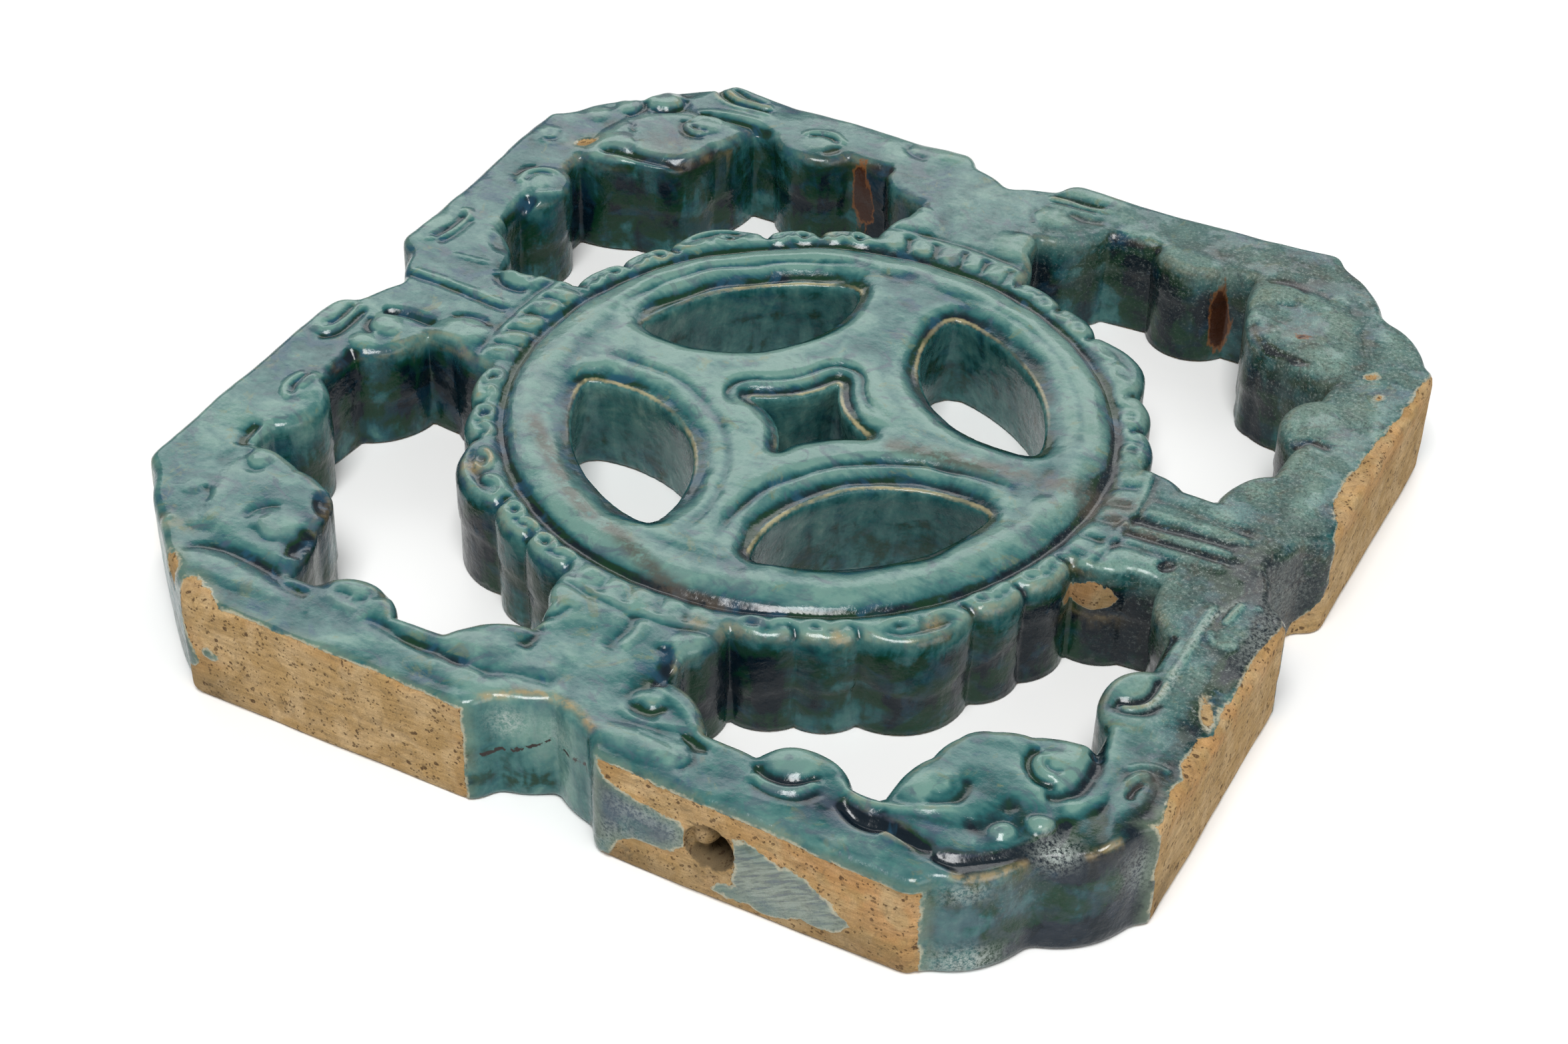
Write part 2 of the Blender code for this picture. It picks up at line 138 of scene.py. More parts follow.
def trace(start, stretches):
    """A path of arcs given as (end, bulge), with a point about every STEP of the side."""
    points = []
    here = start
    for end, bulge in stretches:
        steps = max(1, round(hypot(end[0] - here[0], end[1] - here[1]) / STEP))
        points.append(arc(here, end, bulge, steps))
        here = end
    points.append(np.array([here], float))
    return np.concatenate(points)


def turned(points, quarter):
    """Plan points turned from the first quadrant to one of the four."""
    angle = quarter * pi / 2
    cosine, sine = round(cos(angle)), round(sin(angle))
    return points @ np.array([[cosine, sine], [-sine, cosine]], float)


def polar(radius, degrees):
    return (radius * cos(radians(degrees)), radius * sin(radians(degrees)))


def beyond_diagonal(points):
    """The same path on the other side of the quadrant's diagonal, travelled onwards."""
    return points[::-1, ::-1]


def outer_quadrant(quarter):
    """The outer outline from one notch to the next."""
    plain = quarter == PLAIN_CORNER
    cusp = PLAIN_CORNER_CUSP if plain else CORNER_CUSP
    half = trace(
        (0.5 - NOTCH_DEPTH, 0.0),
        [
            ((0.5 - NOTCH_SHOULDER[1], NOTCH_SHOULDER[0]), NOTCH_FLOOR_BULGE),
            ((0.5, NOTCH_HALF_WIDTH), NOTCH_CHEEK_BULGE),
            ((0.5, STRAIGHT_END), 0.0),
            ((0.5 - CORNER_SHOULDER[1], CORNER_SHOULDER[0]), CORNER_SHOULDER_BULGE),
            ((cusp, cusp), PLAIN_CORNER_BULGE if plain else CORNER_LOBE_BULGE),
        ],
    )
    return np.concatenate([half[:-1], beyond_diagonal(half)[:-1]])


def is_large(first, last):
    return first - last > LARGE_LOBE_SPAN


def lobe_edge(first, last, steps):
    """The edge of the border's lobe between two angles, its last point left out."""
    bulge = LARGE_LOBE_BULGE if is_large(first, last) else SMALL_LOBE_BULGE
    return arc(polar(BORDER_CUSP_RADIUS, first), polar(BORDER_CUSP_RADIUS, last), -bulge, steps)


def opening_half(shift):
    """The opening's edge from the border to the tip of the cloud head, past the bar."""
    return trace(
        polar(BORDER_CUSP_RADIUS, BORDER_CUSP_ANGLES[-1]),
        [
            (ARM_LOBE_END, -ARM_LOBE_BULGE),
            (ARM_ROOT, 0.0),
            ((ARM_CURL_END[0] + shift, ARM_CURL_END[1]), -ARM_CURL_BULGE),
            ((SCROLL_START[0] + shift, SCROLL_START[1]), 0.0),
            ((SCROLL_END[0] + shift, SCROLL_END[1]), -SCROLL_BULGE),
            ((HEAD_ROOT[0] + shift, HEAD_ROOT[1]), 0.0),
            (HEAD_SHOULDER, -HEAD_SHOULDER_BULGE),
            ((HEAD_FRONT, HEAD_FRONT), -HEAD_FRONT_BULGE),
        ],
    )


def opening_quadrant(quarter):
    """Outline of the opening between the coin, two arms and a corner of the frame."""
    border = []
    for first, last in zip(BORDER_CUSP_ANGLES, BORDER_CUSP_ANGLES[1:]):
        border.append(lobe_edge(first, last, 14 if is_large(first, last) else 8))
    shifts = [WIDE_BAR_SHIFT if (quarter, half) in WIDE_BAR_HALVES else 0.0 for half in (0, 1)]
    count = TIP_POINTS[quarter]
    near_half = opening_half(shifts[0])[:-count]
    far_half = beyond_diagonal(opening_half(shifts[1]))[count:-1]
    tip = arc(near_half[-1], far_half[0], -HEAD_TIP_BULGE * count, 2 * count)[1:]
    return np.concatenate(border + [near_half, tip, far_half])[::-1]


def eased(loop, rounds):
    """A closed outline with its corners rounded off a little more in each round."""
    for _ in range(rounds):
        loop = loop / 2 + (np.roll(loop, 1, 0) + np.roll(loop, -1, 0)) / 4
    return loop


def leaf_hole():
    """Outline of the leaf-shaped piercing in the first quadrant, inside its ledge."""
    along = np.array((-1.0, 1.0)) / 2**0.5 * LEDGE_WIDTH * LENS_TIP_SHARPNESS
    start = np.array(LENS_TIP) + along
    end = np.array(LENS_TIP[::-1]) - along
    outer = arc(start, end, LENS_OUTER_BULGE - LEDGE_WIDTH, 26)
    inner = arc(end, start, LENS_INNER_BULGE - LEDGE_WIDTH, 26)
    return eased(np.concatenate([outer, inner]), 2)


def star_hole():
    """Outline of the four-pointed piercing in the middle, inside its ledge."""
    tip = STAR_TIP - STAR_TIP_SHARPNESS * LEDGE_WIDTH
    hollow = tip / 2**0.5 - (STAR_WAIST - LEDGE_WIDTH)
    side = arc((tip, 0.0), (0.0, tip), -hollow, 14)
    return eased(np.concatenate([turned(side, quarter) for quarter in range(4)]), 1)


# ---------------------------------------------------------------- carving tools

# Maps over the face reach a little beyond it: half width in sides, and cells across
MAP_HALF_WIDTH = 0.52
RELIEF_CELLS = 880
STAIN_CELLS = 520


def smooth_curve(points, steps=8):
    """A smooth path through a few points."""
    knots = np.array([points[0], *points, points[-1]], float)
    share = np.arange(steps)[:, None] / steps
    path = []
    for a, b, c, d in zip(knots, knots[1:], knots[2:], knots[3:]):
        bend = 2 * a - 5 * b + 4 * c - d
        twist = 3 * b - a - 3 * c + d
        path.append(b + 0.5 * share * ((c - a) + share * (bend + share * twist)))
    return np.concatenate(path + [knots[-1:]])


def bell(distance):
    return np.exp(-distance * distance)


def step_up(value, low, high):
    """0 below low, 1 above high and smooth between them."""
    share = np.clip((value - low) / (high - low), 0.0, 1.0)
    return share * share * (3 - 2 * share)


def blurred(field, radius):
    """A field softened by a bell-shaped blur of some cells."""
    reach = int(3 * radius) + 1
    weights = bell(np.arange(-reach, reach + 1) / (radius * 2**0.5))
    weights /= weights.sum()
    for axis in (0, 1):
        padding = [(reach, reach) if side == axis else (0, 0) for side in (0, 1)]
        padded = np.pad(field, padding, mode="edge")
        soft = np.zeros_like(field)
        for offset, weight in enumerate(weights):
            window = [slice(None), slice(None)]
            window[axis] = slice(offset, offset + field.shape[axis])
            soft += weight * padded[tuple(window)]
        field = soft
    return field


def distance_to(path, x, y):
    """Distance of points from a path, their share of the way along it, and whether inside.

    Being inside counts only for a path that ends where it starts.
    """
    nearest = np.full(x.shape, 1e9)
    share = np.zeros(x.shape)
    inside = np.zeros(x.shape, bool)
    count = len(path) - 1
    for index, (start, end) in enumerate(zip(path, path[1:])):
        chord = end - start
        along = ((x - start[0]) * chord[0] + (y - start[1]) * chord[1]) / max(chord @ chord, 1e-12)
        along = np.clip(along, 0, 1)
        gap = np.hypot(x - start[0] - along * chord[0], y - start[1] - along * chord[1])
        closer = gap < nearest
        nearest = np.where(closer, gap, nearest)
        share = np.where(closer, (index + along) / count, share)
        if start[1] != end[1]:
            crossing = start[0] + (y - start[1]) * chord[0] / chord[1]
            inside ^= ((start[1] > y) != (end[1] > y)) & (x < crossing)
    return nearest, share, inside


def closed(loop):
    """An outline with its first point added again at its end."""
    return np.concatenate([loop, loop[:1]])


class Relief:
    """A map over the tile's face, of heights in millimetres or of strengths."""

    def __init__(self, cells):
        self.cells = cells
        self.scale = (cells - 1) / (2 * MAP_HALF_WIDTH)
        axis = np.linspace(-MAP_HALF_WIDTH, MAP_HALF_WIDTH, cells)
        self.x, self.y = np.meshgrid(axis, axis, indexing="ij")
        self.height = np.zeros((cells, cells))

    def window(self, low, high):
        """The cells between two corners of the plan."""
        first = [max(0, int((value + MAP_HALF_WIDTH) * self.scale)) for value in low]
        last = [int((value + MAP_HALF_WIDTH) * self.scale) + 2 for value in high]
        return slice(first[0], last[0]), slice(first[1], last[1])

    def near(self, path, reach):
        """The cells round a path, with what distance_to finds for them."""
        area = self.window(path.min(0) - reach, path.max(0) + reach)
        return area, *distance_to(path, self.x[area], self.y[area])

    def pad(self, centre, half_length, half_width, heading, rise):
        """A soft raised or pressed oval, fading out a little beyond its size."""
        centre = np.array(centre)
        reach = 1.7 * max(half_length, half_width)
        area = self.window(centre - reach, centre + reach)
        dx = self.x[area] - centre[0]
        dy = self.y[area] - centre[1]
        cosine, sine = cos(radians(heading)), sin(radians(heading))
        along = (dx * cosine + dy * sine) / half_length
        across = (dy * cosine - dx * sine) / half_width
        place = np.sqrt(along * along + across * across)
        self.height[area] += rise * (1 - step_up(place, 0.45, 1.3))

    def stroke(self, path, rise, width, taper=0.12):
        """A line raised or sunk along a path, thinning out at both ends."""
        area, gap, share, _ = self.near(path, 3 * width)
        ends = step_up(share, 0, taper) * step_up(1 - share, 0, taper)
        self.height[area] += rise * ends * bell(gap / width)

    def plate(self, outline, rise, edge):
        """A raised flat area inside a closed outline, its edge sloped."""
        area, gap, _, inside = self.near(closed(outline), 4 * edge)
        depth = np.where(inside, gap, -gap)
        self.height[area] += rise * step_up(depth, -edge / 2, edge / 2)

    def draw(self, lines, lift=1.0, spread=1.0):
        """Listed lines: strength, width and the places that each runs through."""
        for strength, width, *path in lines:
            path = smooth_curve(np.array(path) / 1000)
            self.stroke(path, lift * strength, spread * width / 1000)

    def sample(self, field, plan):
        """Values of a field at plan points, by bilinear interpolation."""
        place = np.clip((plan + MAP_HALF_WIDTH) * self.scale, 0, self.cells - 1.001)
        cell = place.astype(int)
        share = place - cell
        i, j = cell.T
        u, v = share.T
        low = field[i, j] * (1 - u) + field[i + 1, j] * u
        high = field[i, j + 1] * (1 - u) + field[i + 1, j + 1] * u
        return low * (1 - v) + high * v


# ---------------------------------------------------------------- what is carved where

# The coin's section: radius in sides, height over the body's top in millimetres
COIN_SECTION = (
    (0.0, 1.0), (0.215, 1.1), (0.230, 1.05), (0.239, 0.85), (0.246, 1.15), (0.254, 1.50),
    (0.262, 1.45), (0.270, 1.00), (0.278, 0.35), (0.2825, -0.30), (0.2860, -1.45),
    (0.2895, -1.50), (0.2950, -0.55), (0.301, 0.0),
)

# Mouldings round the piercings, plain and stepped: distance from the hole and height, in mm
PLAIN_MOULDING = (
    (0.0, -2.6), (0.8, -2.3), (1.6, -2.0), (2.6, -1.3), (3.6, -0.6), (4.8, -0.15), (6.0, 0.0),
)
STEPPED_MOULDING = (
    (0.0, -2.8), (0.8, -2.45), (1.6, -2.75), (2.6, -3.0), (3.6, -2.5), (4.8, -1.6),
    (5.8, -1.15), (6.6, -1.0), (7.4, -1.5), (8.2, -1.4), (9.2, -0.4), (10.4, 0.0),
)
# How far the outer and the inner arc of each leaf-shaped piercing are stepped
STEPPED_SHARES = ((0.45, 0.15), (1.0, 0.0), (0.25, 0.55), (0.0, 1.0))
# Millimetres of the stepped moulding to a side of width. True size would be WIDTH, so it
# is drawn out round the leaves and tighter round the star
LEAF_STRETCH = 240
STAR_STRETCH = 336

# How sharply the border is cut in each quarter
BORDER_CRISPNESS = (0.45, 1.0, 1.1, 0.75)
# Beads of the border over each arm, the degrees between them, and those of the line outside
ARM_BEADS = 5
ARM_BEAD_SPACING = 5.2
ARM_EDGE_ANGLES = (-15, -9, -3, 3, 9, 15)

# The curl and the comma of a border lobe: share of the lobe's width, distance from the middle
BORDER_CURL = (
    (0.06, 0.3095), (0.12, 0.3005), (0.25, 0.2962), (0.40, 0.2985), (0.46, 0.3055),
    (0.38, 0.3115), (0.26, 0.3100), (0.25, 0.3045),
)
BORDER_COMMA = (
    (0.94, 0.3100), (0.92, 0.3020), (0.80, 0.2968), (0.66, 0.2990), (0.60, 0.3060),
    (0.68, 0.3110),
)

# Cloud heads and the seams behind the corner lobes: rise and depth by quarter, in mm
HEAD_RISE = (1.2, 1.5, 0.9, 1.4)
HEAD_EDGE = (
    ((0.420, 0.350), -0.004),
    ((0.412, 0.296), -0.008),
    ((0.360, 0.292), 0.0),
    ((0.310, 0.310), -0.004),
)
SEAM_DEPTH = (0.5, 0.9, 0.5, 2.7)
SEAM_EDGE = (((0.428, 0.428), -0.012), ((0.362, 0.493), -0.012))
FRONT_CORNER = 3
FRONT_SEAM = (
    (0.290, -0.446), (0.3066, -0.453), (0.356, -0.464), (0.3865, -0.4472), (0.419, -0.414),
    (0.4301, -0.373), (0.447, -0.345),
)

# Soft raised or pressed places: rise, half length, half width, heading, middle
PADS = (
    # front right quarter
    (0.9, 24, 18, 60, 64, -345),
    (0.7, 14, 11, 0, 68, -417),
    (1, 42, 16.5, 0, 92, -467),
    (-1.2, 16, 6, -20, 126, -444),
    (0.9, 21, 17, 0, 206, -425),
    (-1.3, 19, 9, -10, 285, -456),
    (0.6, 18, 18, 0, 322, -395),
    (0.7, 19, 19, 0, 397, -328),
    (-0.4, 10, 8, 70, 382, -388),
    (1.9, 12.5, 9, 15, 414, -396),
    (1.6, 11, 8.5, 35, 388.5, -417),
    (0.8, 34, 15, 95, 464, -330),
    (0.9, 25, 20, 80, 412, -206),
    (0.7, 38, 17, 90, 466, -90),
    (0.9, 36, 17, 12, 345, -59),
    (-1.3, 9, 7, 60, 379, -48),
    # front left quarter
    (0.9, 23, 21, 60, -66, -345),
    (0.5, 26, 17, 0, -225, -420),
    (-0.8, 12, 8, 60, -203, -413),
    (-0.8, 6, 6, 0, -252, -424),
    (-0.7, 22, 7, 5, -140, -450),
    (0.6, 30, 15, 10, -96, -425),
    (0.5, 36, 13, 0, -90, -469),
    (0.6, 18, 14, 60, -404, -306),
    (-1.8, 18, 8, -55, -318, -335),
    (0.8, 20, 17, 0, -333, -378),
    (0.7, 60, 16, -3, -335, -454),
    (0.4, 15, 12, 0, -401, -404),
    (0.4, 14, 12, 40, -433, -368),
    (0.7, 32, 13, 90, -486, -80),
    (1.3, 28, 24, 20, -355, -47),
    (0.9, 19, 14, -30, -426, -73),
    (0.8, 14, 11, 0, -430, -108),
    (0.6, 26, 20, 60, -435, -195),
    # rear left quarter
    (1.5, 23, 21.5, 0, -402, 430),
    (0.9, 20, 14, -50, -431, 405),
    (0.6, 18, 13, -50, -453, 374),
    (0.7, 19, 14, 0, -395, 329),
    (0.9, 17, 16, 0, -332, 399),
    (0.6, 19, 17, 0, -474, 308),
    (0.6, 24, 18, 0, -212, 435),
    (-0.8, 12, 6, 60, -196, 430),
    (0.9, 26, 22, 70, -56, 345),
    (0.5, 36, 12, 0, -96, 482),
    (0.8, 23, 21, 90, -436, 222),
    (0.6, 36, 13, 90, -484, 101),
    (1.4, 25, 21, 0, -357, 66),
    (0.5, 7, 6, 0, -366, 60),
    (-0.8, 20, 10, -40, -410, 105),
    # rear right quarter
    (0.7, 38, 11, 0, 85, 483),
    (0.7, 23, 19, 0, 66, 425),
    (0.8, 27, 22, 0, 54, 357),
    (0.6, 32, 22, 0, 215, 422),
    (0.6, 24, 19, 0, 323, 395),
    (0.4, 18, 15, 0, 398, 324),
    (0.6, 14, 10, -40, 378, 424),
    (-0.9, 9, 5, -40, 344, 313),
    (-0.8, 9, 5, -10, 376, 304),
    (0.9, 30, 23, 80, 420, 223),
    (0.4, 34, 15, 88, 459, 98),
    (0.6, 21, 18, 90, 411, 100),
)

# Lines cut or raised with a soft tool: rise, width, and the places the line runs through
LINES = (
    # front right quarter, from the arm round to the next arm
    (-1.6, 5, (45, -352), (56, -366), (62, -385), (66, -400)),
    (0.8, 3.2, (78, -342), (73, -358), (65, -374)),
    (-0.9, 4.2, (60, -423), (68, -428.5), (78, -427), (85, -418)),
    (0.4, 3, (50, -420), (55, -437), (75, -441.5), (112, -431)),
    (-0.4, 4, (50, -405), (51, -425), (66, -435.5), (88, -436)),
    (0.6, 3.2, (62, -400), (85, -407), (105, -418), (120, -431)),
    (-0.7, 3.6, (124, -450), (133.5, -458), (134.5, -469), (128, -480)),
    (-0.4, 2.8, (75, -457), (105, -457.5), (124, -465), (124, -473)),
    (-1.3, 3.6, (183, -440), (189, -447.5), (206, -449.5), (220, -445), (237, -429)),
    (1, 3, (184, -451.5), (196, -458.5), (214, -459), (228, -451), (236, -436)),
    (-0.5, 3.8, (186, -459), (198, -466.5), (218, -467), (234, -459), (243, -443)),
    (0.8, 3.4, (245, -422), (270, -436.5), (300, -433.5), (325, -424.5), (346, -408)),
    (-1.5, 5.5, (256, -446), (285, -454.5), (310, -452.5), (350, -459)),
    (1.3, 2.5, (303, -461), (328, -462.5), (354, -465)),
    (-1.4, 3.8, (376.5, -317), (373.5, -330), (379, -343.5), (392, -352.5), (408, -350)),
    (1, 3, (381, -325), (383, -337), (392, -345), (405, -344)),
    (-0.9, 2.8, (388, -327), (391, -335), (399, -337), (405, -331)),
    (-1.8, 5.8, (418.5, -290), (424, -315), (422.5, -342), (412, -358), (400, -366)),
    (-0.9, 4.2, (338, -377), (344.5, -389), (343, -403), (333, -413), (318, -416)),
    (-0.7, 2.8, (330, -385), (335.5, -395), (330, -405), (319, -407)),
    (-0.8, 8.5, (425, -364), (402, -380), (386, -394), (372, -410), (356, -427)),
    (0.7, 2.8, (446.5, -304), (455, -292.5), (470, -288), (481, -290)),
    (1.1, 2.6, (456, -320), (458.5, -307), (467, -301.5)),
    (-1.4, 2.6, (462, -336), (461.5, -323), (465, -312.5)),
    (-1.5, 3.6, (429, -187), (431.5, -203), (428, -218), (418, -227.5), (406, -230)),
    (1.2, 2.8, (436.5, -186), (437, -205), (433, -221), (423, -230.5), (411, -234)),
    (-0.7, 3.6, (404, -236.5), (420, -238.5), (435.5, -231), (443, -213)),
    (0.9, 3, (436.5, -188), (437.5, -155), (436.5, -115), (436.5, -72)),
    (-1.8, 3.6, (418.5, -126), (417.5, -148), (416, -172)),
    (1, 2.6, (456.5, -62), (454.5, -80), (451.5, -97)),
    (0.7, 2.6, (445, -107), (449, -119.5), (460, -123), (475, -119)),
    (0.6, 3, (468, -60), (480, -68), (485.5, -85)),
    (-2.4, 5.2, (405.5, -256), (411, -270), (416.5, -285), (419.5, -303)),
    (0.8, 3, (308, -79), (330, -76.5), (354, -74)),
    # right arm
    (-0.6, 4.6, (322, 4), (350, 1), (385, 4), (430, 6)),
    (0.8, 5, (318, -9.5), (350, -10), (385, -7), (430, -6)),
    (-0.7, 4.2, (330, -21.5), (360, -17.5), (400, -18.5), (440, -14)),
    (0.5, 5.5, (322, -30), (350, -31), (390, -27), (430, -26)),
    (-0.5, 5.5, (330, 40), (370, 36.5), (440, 30)),
    (0.5, 4, (330, 18), (380, 19), (440, 21)),
    # front arm
    (-0.7, 6, (2, -330), (6.5, -352), (2, -380)),
    (0.5, 5.5, (16, -332), (17.5, -352), (14, -372)),
    # front left quarter, from the arm round to the next arm
    (-0.9, 4.2, (-50, -346), (-54.5, -361), (-63, -369), (-71, -378)),
    (-0.9, 5.5, (-60, -380), (-57.5, -398), (-59, -413)),
    (-1, 2.4, (-237, -429.5), (-228.5, -427.5), (-221.5, -431.5)),
    (-0.8, 2.8, (-215, -430), (-206, -427)),
    (0.6, 2.8, (-243, -435), (-228, -441), (-207, -441.5)),
    (-1, 6, (-200, -443), (-160, -448), (-120, -452), (-85, -452)),
    (-0.6, 5.5, (-110, -456), (-70, -453), (-40, -443), (-5, -440)),
    (0.4, 3, (-120, -462), (-90, -459.5), (-70, -462)),
    (-0.7, 5, (-300, -437), (-280, -442), (-255, -443)),
    (-0.8, 3, (-419.5, -299), (-417, -312), (-409, -321.5), (-399, -327), (-390, -318)),
    (-1.5, 5.2, (-441.5, -262), (-439, -285), (-433, -299)),
    (0.6, 2.8, (-431.5, -254), (-430, -275), (-431, -293)),
    (-2.6, 5.8, (-309, -369), (-301, -383), (-303, -397), (-298, -409)),
    (-0.8, 3.2, (-345, -357), (-356, -362), (-364.5, -374), (-364, -388)),
    (0.6, 3, (-349, -378), (-343, -389), (-333, -394.5), (-322, -392)),
    (-0.5, 3.2, (-353, -392), (-336, -402.5), (-320, -400)),
    (-0.9, 5, (-390, -447), (-376, -435), (-350, -428.5), (-320, -429), (-290, -437)),
    (-0.6, 3, (-426, -365), (-415, -371), (-411, -384)),
    (0.6, 3, (-426, -409), (-428.5, -424), (-420, -437), (-406, -455)),
    (0.8, 2.8, (-468, -54), (-466, -75), (-467, -98), (-476, -110), (-488, -108)),
    (-0.9, 3.2, (-474.5, -59), (-472.5, -82), (-476.5, -101)),
    (-1.1, 4, (-461, -58), (-459, -85), (-462, -108), (-476, -120)),
    (-2, 4.2, (-444, -56), (-426, -47.5), (-405, -45.5), (-388, -47.5)),
    (-0.9, 3.6, (-379, -31), (-366, -21.5), (-350, -19.5), (-336, -27)),
    (-0.8, 3.6, (-445.5, -68), (-441.5, -85), (-430, -93)),
    (1, 3, (-412, -180), (-425, -172.5), (-436.5, -182), (-437.5, -203)),
    (0.7, 2.8, (-449, -176), (-452.5, -195), (-448, -212), (-436, -221)),
    (-0.9, 3, (-442.5, -176), (-445.5, -196), (-440, -213)),
    (-1.8, 5, (-429, -121), (-428.5, -145), (-423.5, -166)),
    # left arm
    (-0.8, 3.4, (-335, 6), (-400, 10), (-468, 12)),
    (0.5, 3.6, (-340, 14.5), (-400, 18), (-462, 20)),
    (0.4, 3, (-440, 63), (-420, 64), (-395, 68)),
    # rear left quarter, from the arm round to the next arm
    (1, 3, (-422.5, 244), (-437, 246), (-450, 240), (-456, 227), (-450, 205)),
    (-0.8, 2.8, (-428, 238.5), (-440, 239), (-447.5, 230), (-447.5, 215)),
    (-0.6, 3.6, (-452, 249), (-462.5, 238), (-464.5, 221)),
    (0.8, 2.8, (-425, 200), (-412, 210), (-402, 223)),
    (-3, 5.6, (-426.5, 196), (-426, 170), (-425, 144)),
    (0.8, 2.8, (-479, 139), (-466, 138.5), (-462, 125), (-463, 95), (-476, 68)),
    (-1, 3.2, (-469.5, 133), (-467.5, 115), (-469, 90), (-472, 78)),
    (-0.6, 3.6, (-457, 130), (-456.5, 100), (-462, 72)),
    (-0.9, 2.8, (-347, 56), (-342.5, 66), (-347, 77)),
    (-0.9, 3.6, (-382, 56), (-370, 44), (-355, 41), (-338, 45)),
    (0.8, 3, (-366, 479), (-350, 465.5), (-325, 459), (-283, 462)),
    (-1.3, 3.4, (-366, 485), (-350, 472), (-325, 465.5), (-286, 469)),
    (1, 2.8, (-353, 484), (-335, 474), (-310, 473), (-292, 477)),
    (-0.8, 3, (-346, 490), (-325, 481), (-300, 481.5)),
    (-1.5, 4, (-386, 447), (-378, 435), (-379, 422), (-388, 411), (-403, 407.5)),
    (-0.9, 3.2, (-420, 419), (-413.5, 407), (-416, 393), (-422.5, 383)),
    (-0.9, 2.6, (-413, 371), (-404, 366), (-402, 358), (-393, 353)),
    (-0.7, 2.6, (-388, 341), (-381, 331), (-378, 320), (-369, 313)),
    (0.9, 2.6, (-349, 402), (-345, 412), (-334, 416.5), (-321, 415)),
    (1.2, 2.6, (-353, 396), (-348, 385), (-337, 381), (-326, 384)),
    (-1, 2.6, (-344.5, 391), (-335, 387), (-325, 391)),
    (-0.8, 3.6, (-358.5, 400), (-352, 381), (-337, 374.5), (-323, 378)),
    (
        -2.2, 5.2, (-416, 305), (-395, 309), (-370, 313), (-343, 317), (-323, 325), (-311, 336),
        (-304, 354), (-301, 374),
    ),
    (-1.5, 5, (-353, 431), (-342, 423.5), (-325, 428.5), (-300, 432), (-262, 430)),
    (0.5, 3.6, (-360, 426), (-345, 438), (-320, 441.5), (-285, 443.5)),
    (-0.7, 2.8, (-470, 322), (-464.5, 312), (-466.5, 302), (-476, 297)),
    (-0.5, 2.6, (-480, 318), (-474.5, 311), (-478, 305)),
    (1, 2.8, (-236, 440), (-232.5, 450), (-221, 457.5), (-206, 459.5), (-187, 448)),
    (-0.8, 2.8, (-229.5, 443), (-221, 451), (-208, 452), (-196, 447)),
    (-0.7, 3.2, (-129, 487), (-127.5, 476), (-117, 466), (-98, 463)),
    (-2.2, 5, (-181, 425), (-165, 421.5), (-140, 427.5), (-121, 430.5)),
    (0.6, 2.8, (-73, 352), (-71, 365), (-60, 371.5), (-48, 369)),
    # rear right quarter, from the arm round to the next arm
    (1.2, 2.8, (46, 457), (60, 460.5), (90, 461.5), (116, 466.5)),
    (-1.4, 3.2, (45, 465), (65, 467), (90, 466.8), (106, 470.5)),
    (-1, 2.8, (50, 453), (75, 455.5), (102, 457)),
    (0.5, 2.8, (50, 448), (75, 449.5), (100, 452)),
    (-0.7, 5, (74, 440), (95, 437), (116, 445)),
    (-0.8, 3.2, (45, 434), (43, 420), (51, 406)),
    (0.6, 2.8, (45, 373), (55, 376.5), (70, 372), (79, 361)),
    (-1.9, 4.6, (124, 426.5), (150, 427.5), (170, 426), (184, 428.5)),
    (-0.6, 4, (178, 435), (188, 422), (198, 408)),
    (-0.9, 4.6, (300, 420), (315, 429), (333, 427), (346, 415)),
    (-1, 2.8, (329, 409.5), (340, 402), (343, 392), (335, 385), (322, 383)),
    (-0.6, 2.6, (334, 396), (331, 390), (325, 392)),
    (-1.1, 4.2, (314, 347), (322, 328), (340, 315.5), (365, 308), (396, 306)),
    (0.7, 3, (307, 330), (318, 312), (338, 300.5), (385, 298)),
    (0.5, 3, (357, 335), (375, 341), (395, 349)),
    (-1.3, 3.6, (404, 181), (413, 177), (421.5, 180), (428, 189), (455, 184)),
    (0.8, 2.4, (423.5, 175), (425.5, 150), (425.5, 125)),
)


def carve_coin(relief):
    """The coin's section, and the body sunk a little between its border and the arms."""
    radius = np.hypot(relief.x, relief.y)
    relief.height += np.interp(radius, *np.array(COIN_SECTION).T)
    arm = np.minimum(np.abs(relief.x), np.abs(relief.y))
    sunk = step_up(radius, 0.301, 0.330) * step_up(arm, 0.070, 0.095) * (radius < 0.35)
    relief.height -= 1.1 * sunk


def moulding(gap, stretch, stepped_share):
    """Depth of the moulding at a distance from a piercing, mixed of plain and stepped."""
    plain = np.interp(gap * WIDTH, *np.array(PLAIN_MOULDING).T)
    stepped = np.interp(gap * stretch, *np.array(STEPPED_MOULDING).T)
    return plain * (1 - stepped_share) + stepped * stepped_share


